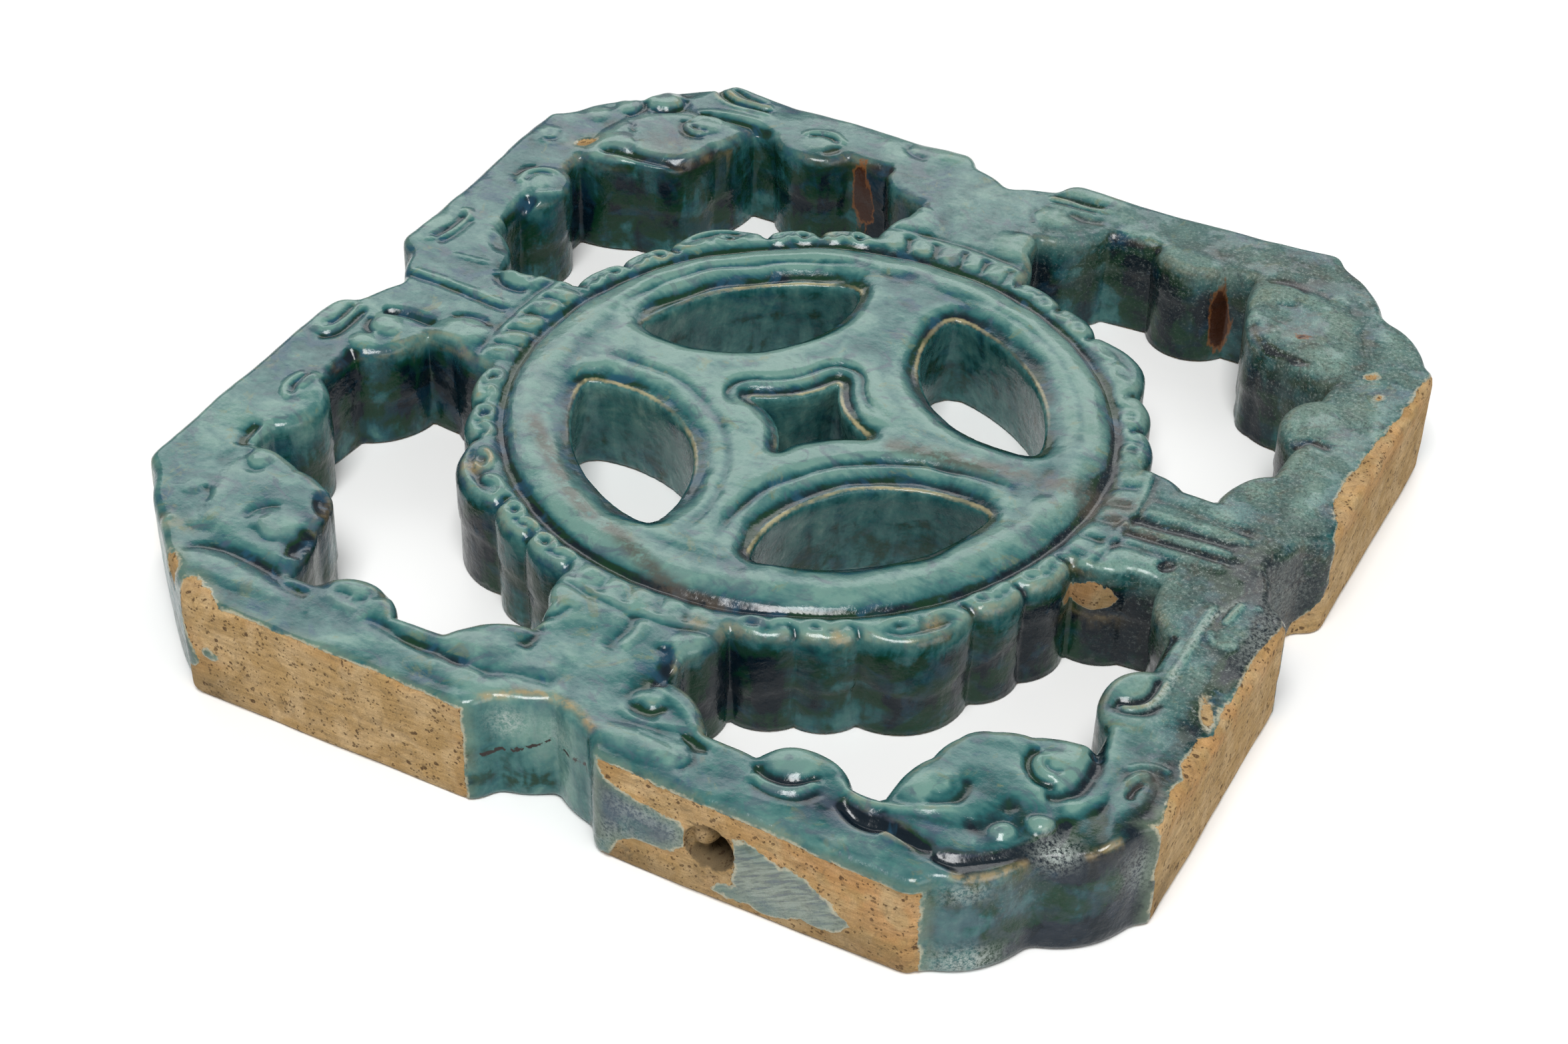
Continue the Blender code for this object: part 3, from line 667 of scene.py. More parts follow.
def carve_mouldings(relief):
    """The mouldings that frame the piercings, stepped on the sides towards the middle."""
    depth = np.zeros_like(relief.height)
    rng = np.random.default_rng(5)
    wander = blurred(rng.normal(size=depth.shape), 12)
    wander *= 0.0013 / wander.std()
    for quarter, (outer_share, inner_share) in enumerate(STEPPED_SHARES):
        area, gap, share, _ = relief.near(closed(turned(leaf_hole(), quarter)), 0.045)
        outer = step_up(share, -0.02, 0.10) * step_up(share, 0.52, 0.42)
        inner = step_up(share, 0.48, 0.60) * step_up(share, 1.02, 0.90)
        much = outer * outer_share + inner * inner_share
        fall = moulding(gap + wander[area], LEAF_STRETCH, much)
        depth[area] = np.minimum(depth[area], fall)
    area, gap, _, _ = relief.near(closed(star_hole()), 0.045)
    far = step_up(relief.y[area] - 0.4 * relief.x[area], -0.01, 0.03)
    depth[area] = np.minimum(depth[area], moulding(gap, STAR_STRETCH, far))
    relief.height += depth


def cut_border(relief, quarter, places, rise, width, taper=0.12):
    """A stroke through places given by radius and angle, turned to a quarter."""
    path = smooth_curve([polar(*place) for place in places])
    relief.stroke(turned(path, quarter), rise, width, taper)


def on_border(radius, degrees, quarter):
    return turned(np.array([polar(radius, degrees)]), quarter)[0]


def carve_bead(relief, rng, quarter, bead, crisp):
    """One leaning bead of the border where it crosses an arm."""
    degrees = (bead - (ARM_BEADS - 1) / 2) * ARM_BEAD_SPACING + rng.uniform(-0.5, 0.5)
    heading = degrees + 90 * quarter + rng.uniform(-5, 45)
    rise = rng.uniform(0.6, 0.9) * crisp
    relief.pad(on_border(0.3085, degrees, quarter), 0.0140, 0.0105, heading, rise)
    leaning = [(0.3235, degrees - 1.9), (0.309, degrees - 2.7), (0.296, degrees - 3.0)]
    cut_border(relief, quarter, leaning, -0.5 * crisp, 0.0034)
    eye = [(0.3165, degrees + 0.3), (0.3105, degrees + 0.9), (0.3040, degrees + 0.4)]
    cut_border(relief, quarter, eye, -0.4 * crisp, 0.0024)


def carve_lobe(relief, rng, quarter, first, last, crisp):
    """One lobe of the border: a roll along its edge, a curl that winds in and a comma."""
    large = is_large(first, last)
    cusp = [(0.3185, first), (0.3090, first - 0.4), (0.2990, first - 1.4)]
    cut_border(relief, quarter, cusp, -1.1, 0.0042, 0.25)
    edge = np.concatenate([lobe_edge(first, last, 12), [polar(BORDER_CUSP_RADIUS, last)]])
    path = edge * (1 - 0.0068 / np.hypot(edge[:, 0], edge[:, 1]))[:, None]
    relief.stroke(turned(path, quarter), 0.55 * crisp, 0.0040, 0.10)
    relief.stroke(turned(path[2:-2] * 0.975, quarter), -0.5 * crisp, 0.0034, 0.25)
    lift = 0.006 if large else 0.0
    stretch = 0.8 if large else 1.0
    sway = rng.uniform(-0.05, 0.05)
    for figure in (BORDER_CURL, BORDER_COMMA):
        places = []
        for share, radius in figure:
            share = (share + sway - 0.5) * stretch + 0.5
            radius += lift + rng.uniform(-0.0006, 0.0006)
            places.append((radius, last + (first - last) * share))
        cut_border(relief, quarter, places, rng.uniform(0.7, 1.0) * crisp, 0.0024, 0.2)
    middle = last + (first - last) * (0.5 + (sway - 0.22) * stretch)
    eye = on_border(0.3040 + lift, middle, quarter)
    relief.pad(eye, 0.0060, 0.0050, 90 * quarter + last, -0.6 * crisp)
    if large:
        middle = (first + last) / 2
        crest = on_border(0.3255, middle, quarter)
        relief.pad(crest, 0.024, 0.007, 90 * quarter + 90 + middle, 0.5 * crisp)


def carve_border(relief, rng):
    """The coin's rope border: a curl and a comma on each lobe, beads over the arms."""
    for quarter, crisp in enumerate(BORDER_CRISPNESS):
        for first, last in zip(BORDER_CUSP_ANGLES, BORDER_CUSP_ANGLES[1:]):
            carve_lobe(relief, rng, quarter, first, last, crisp)
        for bead in range(ARM_BEADS):
            carve_bead(relief, rng, quarter, bead, crisp)
    for quarter in range(4):
        edge = smooth_curve([polar(0.3245, degrees) for degrees in ARM_EDGE_ANGLES])
        path = turned(edge, quarter)
        relief.stroke(path, 0.35, 0.0036)
        relief.stroke(path * 1.020, -0.4, 0.0040)


def carve_heads(relief):
    """The raised cloud heads, the valleys behind them and the lowered lobes of the corner."""
    half = trace((0.398, 0.398), HEAD_EDGE)
    head = np.concatenate([half, beyond_diagonal(half)[1:-1]])
    for quarter, rise in enumerate(HEAD_RISE):
        relief.plate(turned(head, quarter), rise, 0.022)
    for quarter, depth in enumerate(SEAM_DEPTH):
        seam = turned(trace((0.493, 0.362), SEAM_EDGE), quarter)[::-1]
        if quarter == FRONT_CORNER:
            seam = smooth_curve(FRONT_SEAM)
        corner = turned(np.array([(MAP_HALF_WIDTH, MAP_HALF_WIDTH)]), quarter)
        relief.plate(np.concatenate([seam, corner]), -0.45 * depth, 0.014)
        relief.stroke(seam, -0.36 * depth, 0.0052, 0.3)


def carve_marks(relief):
    """The scrolls, curls and hollows that are pressed and cut by hand."""
    for rise, half_length, half_width, heading, x, y in PADS:
        relief.pad((x / 1000, y / 1000), half_length / 1000, half_width / 1000, heading, rise)
    relief.draw(LINES, lift=0.9, spread=1.15)


def make_relief():
    """The whole carved face as one map of heights, and where the glaze gathers on it."""
    relief = Relief(RELIEF_CELLS)
    rng = np.random.default_rng(11)
    carve_coin(relief)
    carve_border(relief, rng)
    carve_heads(relief)
    carve_marks(relief)
    carve_mouldings(relief)
    for radius, swing in ((26, 0.30), (11, 0.16), (5, 0.05)):
        wander = blurred(rng.normal(size=relief.height.shape), radius)
        relief.height += swing * wander / wander.std()
    soft = blurred(relief.height, 3.2)
    rear_right_wear = 0.7 * step_up(relief.x + relief.y, 0.25, 0.75)
    front_left_wear = 0.45 * bell(np.hypot(relief.x + 0.30, relief.y + 0.42) / 0.16)
    relief.height += np.maximum(rear_right_wear, front_left_wear) * (soft - relief.height)
    relief.height = blurred(relief.height, 1.2)
    near, far = blurred(relief.height, 4.0), blurred(relief.height, 13.0)
    relief.hollow_fine = np.clip((near - relief.height) * 1.5, -1, 1)
    relief.hollow_broad = np.clip((far - near) * 0.8, -1, 1)
    return relief


# ---------------------------------------------------------------- body of the tile

SIDE_EDGE, OPENING_EDGE, PIERCING_EDGE = 0, 1, 2
# Radii of the rims at the face and at the foot, for each kind of edge, in mm
RIM_RADII = np.array((2.6, 3.2, 0.9))
FOOT_RIMS = np.array((2.2, 1.2, 0.8))
# The slab is meshed at this share of its height, so that its walls get fewer points
BODY_SQUASH = 0.5
GLAZE_THICKNESS = 0.4
PIERCING_FLARE = 3.6
VOXEL = 0.66
TRIANGLE_TARGET = 194000

# The peg hole of the front side and the plug of clay left in it, in mm
HOLE_PLACE = (47.6, 16.8)
HOLE_RADIUS = 6.4
HOLE_DEPTH = 12.0
CLAY_PLUG = ((44.6, -133.0, 17.6), (3.5, 5.8, 4.2))


def cloud(points, size, seed):
    """Smooth seeded unevenness in space, from -1 to 1, with lumps about size apart."""
    cells = 32
    table = np.random.default_rng(seed).uniform(-1, 1, (cells, cells, cells))
    place = points / size + 7.3
    cell = np.floor(place).astype(int)
    share = place - cell
    share = share * share * (3 - 2 * share)
    total = np.zeros(len(points))
    for corner in np.ndindex(2, 2, 2):
        weight = np.prod(np.where(np.array(corner) == 1, share, 1 - share), 1)
        i, j, k = ((cell + corner) % cells).T
        total += weight * table[i, j, k]
    return total


class Outline:
    """All edges of the plan as close-set points, in millimetres, for finding the nearest."""

    def __init__(self, loops, spacing=0.25):
        places, inwards, kinds = [], [], []
        for kind, loop in loops:
            path = closed(loop) * WIDTH
            length = np.concatenate([[0], np.cumsum(np.hypot(*np.diff(path, axis=0).T))])
            along = np.linspace(0, length[-1], round(length[-1] / spacing), endpoint=False)
            x, y = (np.interp(along, length, path[:, axis]) for axis in (0, 1))
            place = np.stack([x, y], 1)
            tangent = np.roll(place, -2, 0) - np.roll(place, 2, 0)
            tangent /= np.hypot(*tangent.T)[:, None]
            places.append(place)
            inwards.append(np.stack([-tangent[:, 1], tangent[:, 0]], 1))
            kinds.append(np.full(len(place), kind))
        self.spacing = spacing
        self.place = np.concatenate(places)
        self.inward = np.concatenate(inwards)
        self.kind = np.concatenate(kinds)
        self.tree = KDTree(len(self.place))
        for index, (x, y) in enumerate(self.place.tolist()):
            self.tree.insert((x, y, 0.0), index)
        self.tree.balance()

    def locate(self, plan):
        """For plan points: nearest place on an edge, depth into the body, way in, edge kind."""
        find = self.tree.find
        index = np.array([find((x, y, 0.0))[1] for x, y in plan.tolist()])
        inward = self.inward[index]
        tangent = np.stack([inward[:, 1], -inward[:, 0]], 1)
        slide = ((plan - self.place[index]) * tangent).sum(1)
        slide = np.clip(slide, -0.7 * self.spacing, 0.7 * self.spacing)
        nearest = self.place[index] + slide[:, None] * tangent
        apart = plan - nearest
        gap = np.hypot(*apart.T)
        side = np.where((apart * inward).sum(1) < 0, -1.0, 1.0)
        straight = side[:, None] * apart / np.maximum(gap, 1e-6)[:, None]
        way = np.where(gap[:, None] > 0.4, straight, inward)
        return nearest, side * gap, way, self.kind[index]


def plan_loops():
    """Closed outlines of the plan, each with the body on the left of its way."""
    outer = np.concatenate([turned(outer_quadrant(quarter), quarter) for quarter in range(4)])
    loops = [(SIDE_EDGE, eased(outer, 3))]
    for quarter in range(4):
        loops.append((OPENING_EDGE, turned(opening_quadrant(quarter), quarter)))
    for quarter in range(4):
        loops.append((PIERCING_EDGE, turned(leaf_hole(), quarter)[::-1]))
    return loops + [(PIERCING_EDGE, star_hole()[::-1])]


def mesh_from(name, bm):
    """The finished mesh of what was put together in bm."""
    mesh = bpy.data.meshes.new(name)
    bm.to_mesh(mesh)
    bm.free()
    return mesh


def in_scene(name, data):
    thing = bpy.data.objects.new(name, data)
    bpy.context.collection.objects.link(thing)
    return thing


def slab(loops):
    """A plain flat body with its openings, pressed low so that it meshes evenly."""
    bm = bmesh.new()
    edges = []
    for _, loop in loops:
        ring = [bm.verts.new((x * WIDTH, y * WIDTH, 0.0)) for x, y in loop]
        edges += [bm.edges.new(pair) for pair in zip(ring, ring[1:] + ring[:1])]
    bmesh.ops.triangle_fill(bm, edges=edges, use_beauty=True, use_dissolve=False)
    grown = bmesh.ops.extrude_face_region(bm, geom=bm.faces[:])["geom"]
    tops = [item for item in grown if isinstance(item, bmesh.types.BMVert)]
    bmesh.ops.translate(bm, verts=tops, vec=(0, 0, BODY_TOP * BODY_SQUASH))
    bmesh.ops.recalc_face_normals(bm, faces=bm.faces[:])
    return mesh_from("slab", bm)


def near_hole(places, radius):
    """Which places lie inside the peg hole of the front side."""
    x, z = HOLE_PLACE
    across = np.hypot(places[:, 0] - x, places[:, 2] - z)
    inward = places[:, 1] + WIDTH / 2
    return (across < radius) & (inward > 0.15) & (inward < HOLE_DEPTH + 1.5)


def rounded_tool(kind, place, size):
    """A closed cylinder or ball, squashed like the slab, to cut the slab or to add to it."""
    bm = bmesh.new()
    if kind == "hole":
        bmesh.ops.create_cone(bm, cap_ends=True, segments=40, radius1=1, radius2=1, depth=2)
        bmesh.ops.rotate(bm, verts=bm.verts, matrix=Matrix.Rotation(pi / 2, 3, "X"))
    else:
        bmesh.ops.create_uvsphere(bm, u_segments=24, v_segments=16, radius=1)
    bmesh.ops.scale(bm, vec=size, verts=bm.verts)
    bmesh.ops.translate(bm, vec=place, verts=bm.verts)
    bmesh.ops.scale(bm, vec=(1, 1, BODY_SQUASH), verts=bm.verts)
    return in_scene(kind, mesh_from(kind, bm))


def with_modifier(mesh, kind, **settings):
    """The mesh as one modifier leaves it."""
    thing = in_scene("work", mesh)
    modifier = thing.modifiers.new("work", kind)
    for name, value in settings.items():
        setattr(modifier, name, value)
    depsgraph = bpy.context.evaluated_depsgraph_get()
    result = bpy.data.meshes.new_from_object(thing.evaluated_get(depsgraph))
    bpy.data.objects.remove(thing)
    bpy.data.meshes.remove(mesh)
    return result


def with_peg_hole(mesh):
    """The slab with the peg hole sunk in its front side and the plug of clay left in it."""
    x, z = HOLE_PLACE
    steps = (
        ("hole", (x, -WIDTH / 2, z), (HOLE_RADIUS, HOLE_DEPTH, HOLE_RADIUS), "DIFFERENCE"),
        ("plug", *CLAY_PLUG, "UNION"),
    )
    for kind, place, size, operation in steps:
        tool = rounded_tool(kind, place, size)
        mesh = with_modifier(mesh, "BOOLEAN", object=tool, operation=operation, solver="EXACT")
        bpy.data.objects.remove(tool)
    return mesh


def places_of(mesh):
    values = np.empty(3 * len(mesh.vertices))
    mesh.vertices.foreach_get("co", values)
    return values.reshape(-1, 3)


def rounded_section(depth, height, rim, foot):
    """Places on the body's section, depth in and height up, with both rims rounded."""
    fall = BODY_TOP - height
    upper = height > BODY_TOP / 2
    radius = np.where(upper, rim, foot)
    rise = np.where(upper, np.maximum(fall, 0), np.maximum(height, 0))
    inset = np.maximum(depth, 0)
    turn = np.arctan2(radius - rise, radius - inset)
    in_rim = (rise < radius) & (inset < radius)
    flat = rise <= inset
    new_inset = np.where(in_rim, radius - radius * np.cos(turn), np.where(flat, depth, 0.0))
    new_rise = np.where(in_rim, radius - radius * np.sin(turn), np.where(flat, 0.0, rise))
    return new_inset, np.where(upper, BODY_TOP - new_rise, new_rise)


def run_level(places):
    """Height of the ragged line where the thick glaze of a wall ends, in millimetres."""
    flat = places * (1, 1, 0)
    return 15.5 + 4.5 * cloud(flat, 26.0, 5) + 2.2 * cloud(flat, 7.0, 6)


def wall_relief(places, depth, height, kind):
    """How far a wall stands out, in millimetres."""
    on_wall = step_up(depth, 2.5, 0.0) * step_up(height, 0.0, 2.0)
    long_wave = 0.45 * cloud(places * (1, 1, 0.6), 17.0, 3)
    lumps = 0.16 * cloud(places, 6.0, 4)
    thick = step_up(height - run_level(places), -0.9, 0.6) - 0.6
    thick = np.where(kind == OPENING_EDGE, 0.5 * thick, 0.0)
    return on_wall * (long_wave + lumps + thick)


def shape_body(mesh, outline, relief):
    """Bring the meshed slab to its rounded section, then carve its face and its walls."""
    places = places_of(mesh)
    places[:, 2] /= BODY_SQUASH
    kept = places.copy()
    in_hole = near_hole(places, HOLE_RADIUS + 0.5)
    nearest, depth, way, kind = outline.locate(places[:, :2])
    foot = FOOT_RIMS[kind] * (1 + 0.35 * cloud(places * (1, 1, 0), 19.0, 2))
    inset, height = rounded_section(depth, places[:, 2], RIM_RADII[kind], foot)
    moved = np.abs(inset - depth) > 1e-6
    places[moved, :2] = (nearest + way * inset[:, None])[moved]
    places[:, 2] = height
    carve = relief.sample(relief.height, places[:, :2] / WIDTH)
    places[:, 2] += carve * step_up(height, BODY_TOP - 9, BODY_TOP - 0.5)
    on_wall = step_up(depth, 2.5, 0.0)
    sunk = GLAZE_THICKNESS * step_up(bare_clay(places, depth), -0.3, 0.3)
    places[:, 2] -= sunk * (1 - on_wall) * step_up(height, 1.0, 3.0)
    out = wall_relief(places, depth, height, kind) - sunk * on_wall
    flare = PIERCING_FLARE * np.clip(1 - height / 28, 0, 1) * np.clip(1 - depth / 7, 0, 1)
    out -= np.where(kind == PIERCING_EDGE, flare, 0.0)
    places[:, :2] -= way * out[:, None]
    places[in_hole] = kept[in_hole]
    mesh.vertices.foreach_set("co", (places * MM).ravel())
    mesh.update()


# ---------------------------------------------------------------- where the glaze stops

# Points further out than this are on a bed face, in mm
BED_REACH = 126
# Bed faces, from the front one round. Each run of bare clay has its start and end, its
# raggedness, and the heights where the glaze begins: up the face and on over the rim
BED_FACES = (
    (
        (
            -362, -65.5, 0.5, (-370, 31.3), (-362, 32.2), (-355, 34.7), (-345, 36.5),
            (-332, 36.5), (-318, 33), (-310, 31.6), (-280, 31.6), (-200, 31.2), (-150, 31.2),
            (-110, 30.8), (-60, 29.5),
        ),
        (66, 356, 0.4, (60, 31), (100, 30.6), (200, 29.2), (300, 27.6), (370, 27)),
    ),
    (
        (
            -350, -66, 0.6, (-353, 31.6), (-340, 32.4), (-323, 33.2), (-307, 34.4), (-290, 32.6),
            (-274, 35), (-253, 34.4), (-235, 34.2), (-228, 31.6), (-209, 32.9), (-190, 33.4),
            (-174, 32.9), (-148, 33.2), (-106, 32.9), (-85, 31.6), (-66, 30.6),
        ),
        (-64, 76, 1.2, (-70, 0.5), (0, 1.6), (35, 2), (50, 7), (76, 21)),
        (
            66, 355, 0.8, (66, 31), (80, 32.5), (108, 37), (135, 36.7), (188, 36.7), (232, 34.7),
            (289, 33.6), (333, 33.3), (356, 31),
        ),
    ),
    (
        (-352, -65.5, 0.8, (-360, 29), (-200, 29.8), (-60, 29.2)),
        (65.5, 352, 0.8, (60, 29.4), (200, 29), (360, 29.8)),
    ),
    (
        (-352, -65.5, 0.8, (-360, 29.2), (-200, 28.6), (-60, 29.6)),
        (65.5, 352, 0.8, (60, 29), (200, 30), (360, 28.8)),
    ),
)

# Runs of glaze over the front bed face: places along the side, with heights. One is wiped
WIPED_RUN = 1
GLAZE_RUNS = (
    (
        (60, 31), (75, 25.8), (95, 23.8), (120, 22.6), (143, 21.8), (150, 18.8), (148, 14.8),
        (136, 11.2), (117, 10.4), (101, 10.6), (89, 8.6), (81, 5.4), (74, 1.6), (60, 1),
    ),
    (
        (186, 24.6), (222, 21.8), (264, 18.9), (282, 15.6), (298, 9.5), (279, 6.2), (246, 4.6),
        (223, 3.2), (200, 2.4), (174, 4.2), (172, 7), (192, 9), (196, 17),
    ),
    ((-372, 33), (-357.5, 28), (-349, 20), (-340, 15), (-338, 11.5), (-343, 9.5), (-360, 9)),
    ((-330, 17.6), (-318, 16.4), (-317, 14.4), (-325, 14), (-335, 15.6)),
)

# Chips through the glaze of the face: half length, half width, heading, middle
CLAY_CHIPS = (
    (4.4, 1.5, 117, 479.5, -206),
    (3.2, 2, 50, -433.5, 316.8),
    (3.6, 1.7, 139, -388, -463),
    (1.7, 0.9, 40, 445.7, 317.6),
    (1.5, 0.9, 90, 462.6, 290),
)


def bare_clay(places, depth, sunk=0.0):
    """Distance in millimetres into bare clay, negative where the glaze lies."""
    x, y, z = places.T
    unrolled = np.minimum(z, BODY_TOP) + np.clip(depth - sunk, 0, 20)
    ragged = 0.9 * cloud(places, 4.5, 21) + 0.5 * cloud(places, 1.7, 22)
    clay = np.full(len(places), -30.0)
    for quarter, segments in enumerate(BED_FACES):
        cosine, sine = round(cos(quarter * pi / 2)), round(sin(quarter * pi / 2))
        along = x * cosine + y * sine
        near_face = x * sine - y * cosine > BED_REACH
        for start, end, roughness, *edge in segments:
            limit = np.interp(along / THOUSANDTH, *np.array(edge).T)
            upper = limit - unrolled + roughness * ragged
            lateral = np.minimum(along - start * THOUSANDTH, end * THOUSANDTH - along)
            bare = np.minimum(upper, lateral + 0.7 * ragged)
            clay = np.where(near_face, np.maximum(clay, bare), clay)
    on_front = (y < -BED_REACH) & (depth < 9)
    for number, shape in enumerate(GLAZE_RUNS):
        rough = 1.5 if number == WIPED_RUN else 0.5
        gap, _, inside = distance_to(closed(np.array(shape) * (THOUSANDTH, 1)), x, z)
        covered = np.where(inside, gap, -gap) + rough * ragged
        clay = np.where(on_front, np.minimum(clay, -covered), clay)
    for half_length, half_width, heading, px, py in CLAY_CHIPS:
        dx, dy = x - px * THOUSANDTH, y - py * THOUSANDTH
        cosine, sine = cos(radians(heading)), sin(radians(heading))
        along, across = dx * cosine + dy * sine, dy * cosine - dx * sine
        reach = 1 - np.hypot(along / half_length, across / half_width)
        chip = reach * half_width + 0.5 * ragged
        clay = np.where(z > BODY_TOP - 8, np.maximum(clay, chip), clay)
    under = np.where(z < 0.35, 1.5 + 1.2 * cloud(places, 9.0, 23), -30.0)
    return np.maximum(clay, under)


# ---------------------------------------------------------------- colours on the body

# The way that the worn rims of the piercings face
WORN_SIDE = (0.45, -0.89)

# The dark crack across the front notch: places along it and its heights, in mm
CRACK_COURSE = (
    (-17.1, 14.9), (-12.0, 14.6), (-7.1, 15.8), (-3.0, 18.5), (1.9, 19.2), (7.0, 19.4),
    (11.5, 20.7),
)

# Soft lines of colour: strength, width, and the places the line runs through
DARK_LINES = (
    (0.35, 5, (267.5, 2.9), (275.9, 25.7), (277.4, 57.9)),
    (0.62, 10, (290, -446), (306.6, -453), (356, -464), (386.5, -447.2)),
    (0.62, 9, (356, -464), (386.5, -447.2), (419, -414), (430.1, -373)),
    (0.3, 8, (-89.1, -274.3), (-18.5, -285), (53.9, -280), (117.5, -260)),
    (0.3, 8, (-190, -213), (-150, -243), (-118, -262), (-89.1, -274.3)),
)
TAN_LINES = (
    (1, 3.6, (-59.4, -487.4), (-39.3, -469.6), (-12.3, -454.5), (19.1, -456)),
    (0.9, 3.6, (10, -455.5), (24, -457.5), (36.4, -465.6), (49.9, -472.5)),
    (0.9, 3.2, (367.8, -476), (384.9, -470.3), (404.4, -450.2), (420.6, -426.9)),
    (0.9, 3.2, (455.3, -405.7), (466, -393), (477.1, -377.6)),
)
SALT_LINES = (
    (0.8, 3, (456.1, -55.9), (445.4, -75.9), (438, -105.4), (436.7, -158.1)),
    (0.8, 3.4, (436.7, -158.1), (439.5, -185), (437.2, -212.5), (429, -227.9)),
)
BROWN_LINES = (
    (1.3, 9, (81.3, -12.3), (116.3, -3.3), (176.5, 1.3), (233.1, 12.1)),
    (1.4, 11, (233.1, 12.1), (263, 13.3), (294.2, 17.9), (330, 16)),
    (1.2, 8, (271.9, -7.4), (300.4, -4.1), (333, -11), (362.7, -11.7)),
    (1.3, 7.5, (-228.9, -129.4), (-181.7, -170.5), (-131.5, -215.3), (-86, -240.3)),
    (1.3, 7.5, (-86, -240.3), (-57.3, -249), (11.8, -282.6), (74.3, -280.5)),
)

# Soft marks of colour: strength, middle, height, and half sizes along x, y and z in mm
BROWNED = (
    (0.9, 470, -308, 31, 5, 7, 4),
    (0.9, -347, 352, 31, 9, 8, 4),
    (0.7, 365, 343, 31, 10, 8, 4),
    (0.6, 300, 450, 31, 26, 6, 4),
    (0.5, 440, 200, 31, 8, 16, 4),
    (0.6, -160, 425, 31, 14, 5, 4),
)
WEATHERED = (
    (0.9, 420, 100, 31, 40, 70, 20),
    (0.8, 300, 420, 31, 80, 35, 20),
    (0.8, 450, 380, 31, 30, 40, 20),
    (0.9, 440, -50, 25, 18, 30, 25),
    (0.6, 470, -200, 30, 9, 30, 12),
    (0.4, 410, -440, 22, 10, 10, 8),
)
RUSTED = (
    (1, -160, 428, 20, 2.6, 7, 12),
    (0.8, -148, 428, 15, 1.8, 7, 8),
    (1, 255, 418, 16, 2.2, 7, 12),
    (0.8, 263, 412, 10, 1.6, 7, 7),
    (0.9, 365.4, 342.6, 31, 2.4, 2.4, 4),
)
BLOOMED = (
    (0.9, -35, -473.5, 24.7, 4, 5, 3),
    (0.5, 10, -460, 22, 5, 6, 4),
    (1, 388, -472, 4, 9, 7, 4),
    (0.5, 250, -500, 8, 16, 4, 7),
    (0.6, 110, -500, 20, 12, 4, 3),
    (0.6, 75, -500, 7, 6, 4, 5),
    (0.55, 143, -500, 15, 3, 4, 6),
    (0.45, 105, -500, 12, 8, 4, 2),
    (0.4, 484, -90, 31, 4, 14, 5),
    (0.3, 462, 10, 18, 9, 20, 12),
    (1, 434.7, -412.6, 31, 4.5, 4.5, 4),
    (0.8, 384.5, -475.2, 25.8, 7, 5, 2.5),
    (0.5, 487, -362, 20, 5, 5, 6),
)
DARKENED = (
    (0.3, 430, -425, 30, 7, 6, 5),
    (1, 449, -410.5, 26.5, 7, 7, 3.4),
    (0.7, 463, -398, 24.5, 5, 5, 2.6),
    (1, 466, -398, 3.5, 20, 20, 6),
    (1, 493, -357, 15, 6.5, 6.5, 16),
    (0.75, 482, -95, 31, 3.5, 16, 5),
    (0.6, 476, -165, 31, 3.5, 12, 5),
    (0.35, 474, -250, 31, 3.5, 16, 5),
    (0.5, 475, -355, 30, 6, 12, 6),
    (0.85, 462, 0, 15, 12, 24, 20),
    (0.4, 400, -20, 31, 26, 10, 6),
    (0.45, 270.6, -455, 31, 16, 5, 5),
    (0.35, 380, -395, 31, 8, 7, 5),
    (0.25, 60, -385, 31, 7, 9, 6),
    (0.45, -300, -390, 28, 5, 9, 8),
    (0.45, -318, -335, 29, 8, 5, 6),
    (0.35, -430, -145, 28, 6, 9, 6),
    (0.35, -150, 424, 28, 12, 4, 5),
    (0.35, 150, 424, 28, 12, 4, 5),
    (0.25, -320, 320, 28, 16, 16, 5),
    (0.25, 390, 300, 26, 14, 10, 8),
    (0.35, -43.4, -475.2, 6.2, 5, 5, 1.6),
    (0.35, -10.1, -462.7, 5.6, 5, 5, 1.6),
    (0.6, 340, -77.1, 22.7, 1.6, 3, 1.6),
)
LIGHTENED = (
    (0.42, 0, -465, 17, 19, 11, 17),
    (0.15, -435, -450, 16, 14, 16, 14),
    (0.12, 385, -475, 18, 12, 8, 12),
    (0.08, -340, -240, 31, 30, 40, 6),
    (0.06, -280, 0, 31, 40, 40, 6),
    (0.12, 450, 120, 31, 16, 60, 6),
    (0.05, -100, 50, 31, 40, 40, 6),
    (0.12, 0, -380, 31, 22, 20, 6),
)
THINNED = (
    (0.9, 170, -268, 31, 3, 2, 3),
    (0.8, 232, -214, 31, 2, 3, 3),
    (0.7, 55, -314, 31, 3, 2, 3),
    (0.8, -230, -220, 31, 3, 3, 3),
    (0.7, -305, -120, 31, 2, 3, 3),
    (0.7, -130, 285, 31, 4, 2, 3),
    (0.5, -425, -420, 31, 7, 2.5, 2),
    (0.5, 306.1, -89.8, 16.9, 5, 4, 1.2),
    (0.5, 338.2, -77.7, 16.1, 5, 4, 1.2),
)
SLATED = (
    (1.2, 100, -500, 17, 15, 8, 9),
    (1, -352, -490, 14, 4, 10, 12),
)
SMEARED = ((1.3, 238, -500, 13, 22, 6, 10),)
BARE_PATCHES = ((1, 325.5, -82, 23.3, 8.2, 10.5, 5.4),)
GRIMED = (
    (0.6, 90, -500, 3, 14, 4, 4),
    (0.5, 300, -500, 4, 20, 4, 4),
    (0.6, -330, -500, 4, 10, 4, 5),
    (0.5, 500, -330, 5, 4, 8, 6),
    (0.4, 168, -500, 9, 6, 4, 5),
    (0.35, 322.5, -83, 22, 16, 14, 9),
)
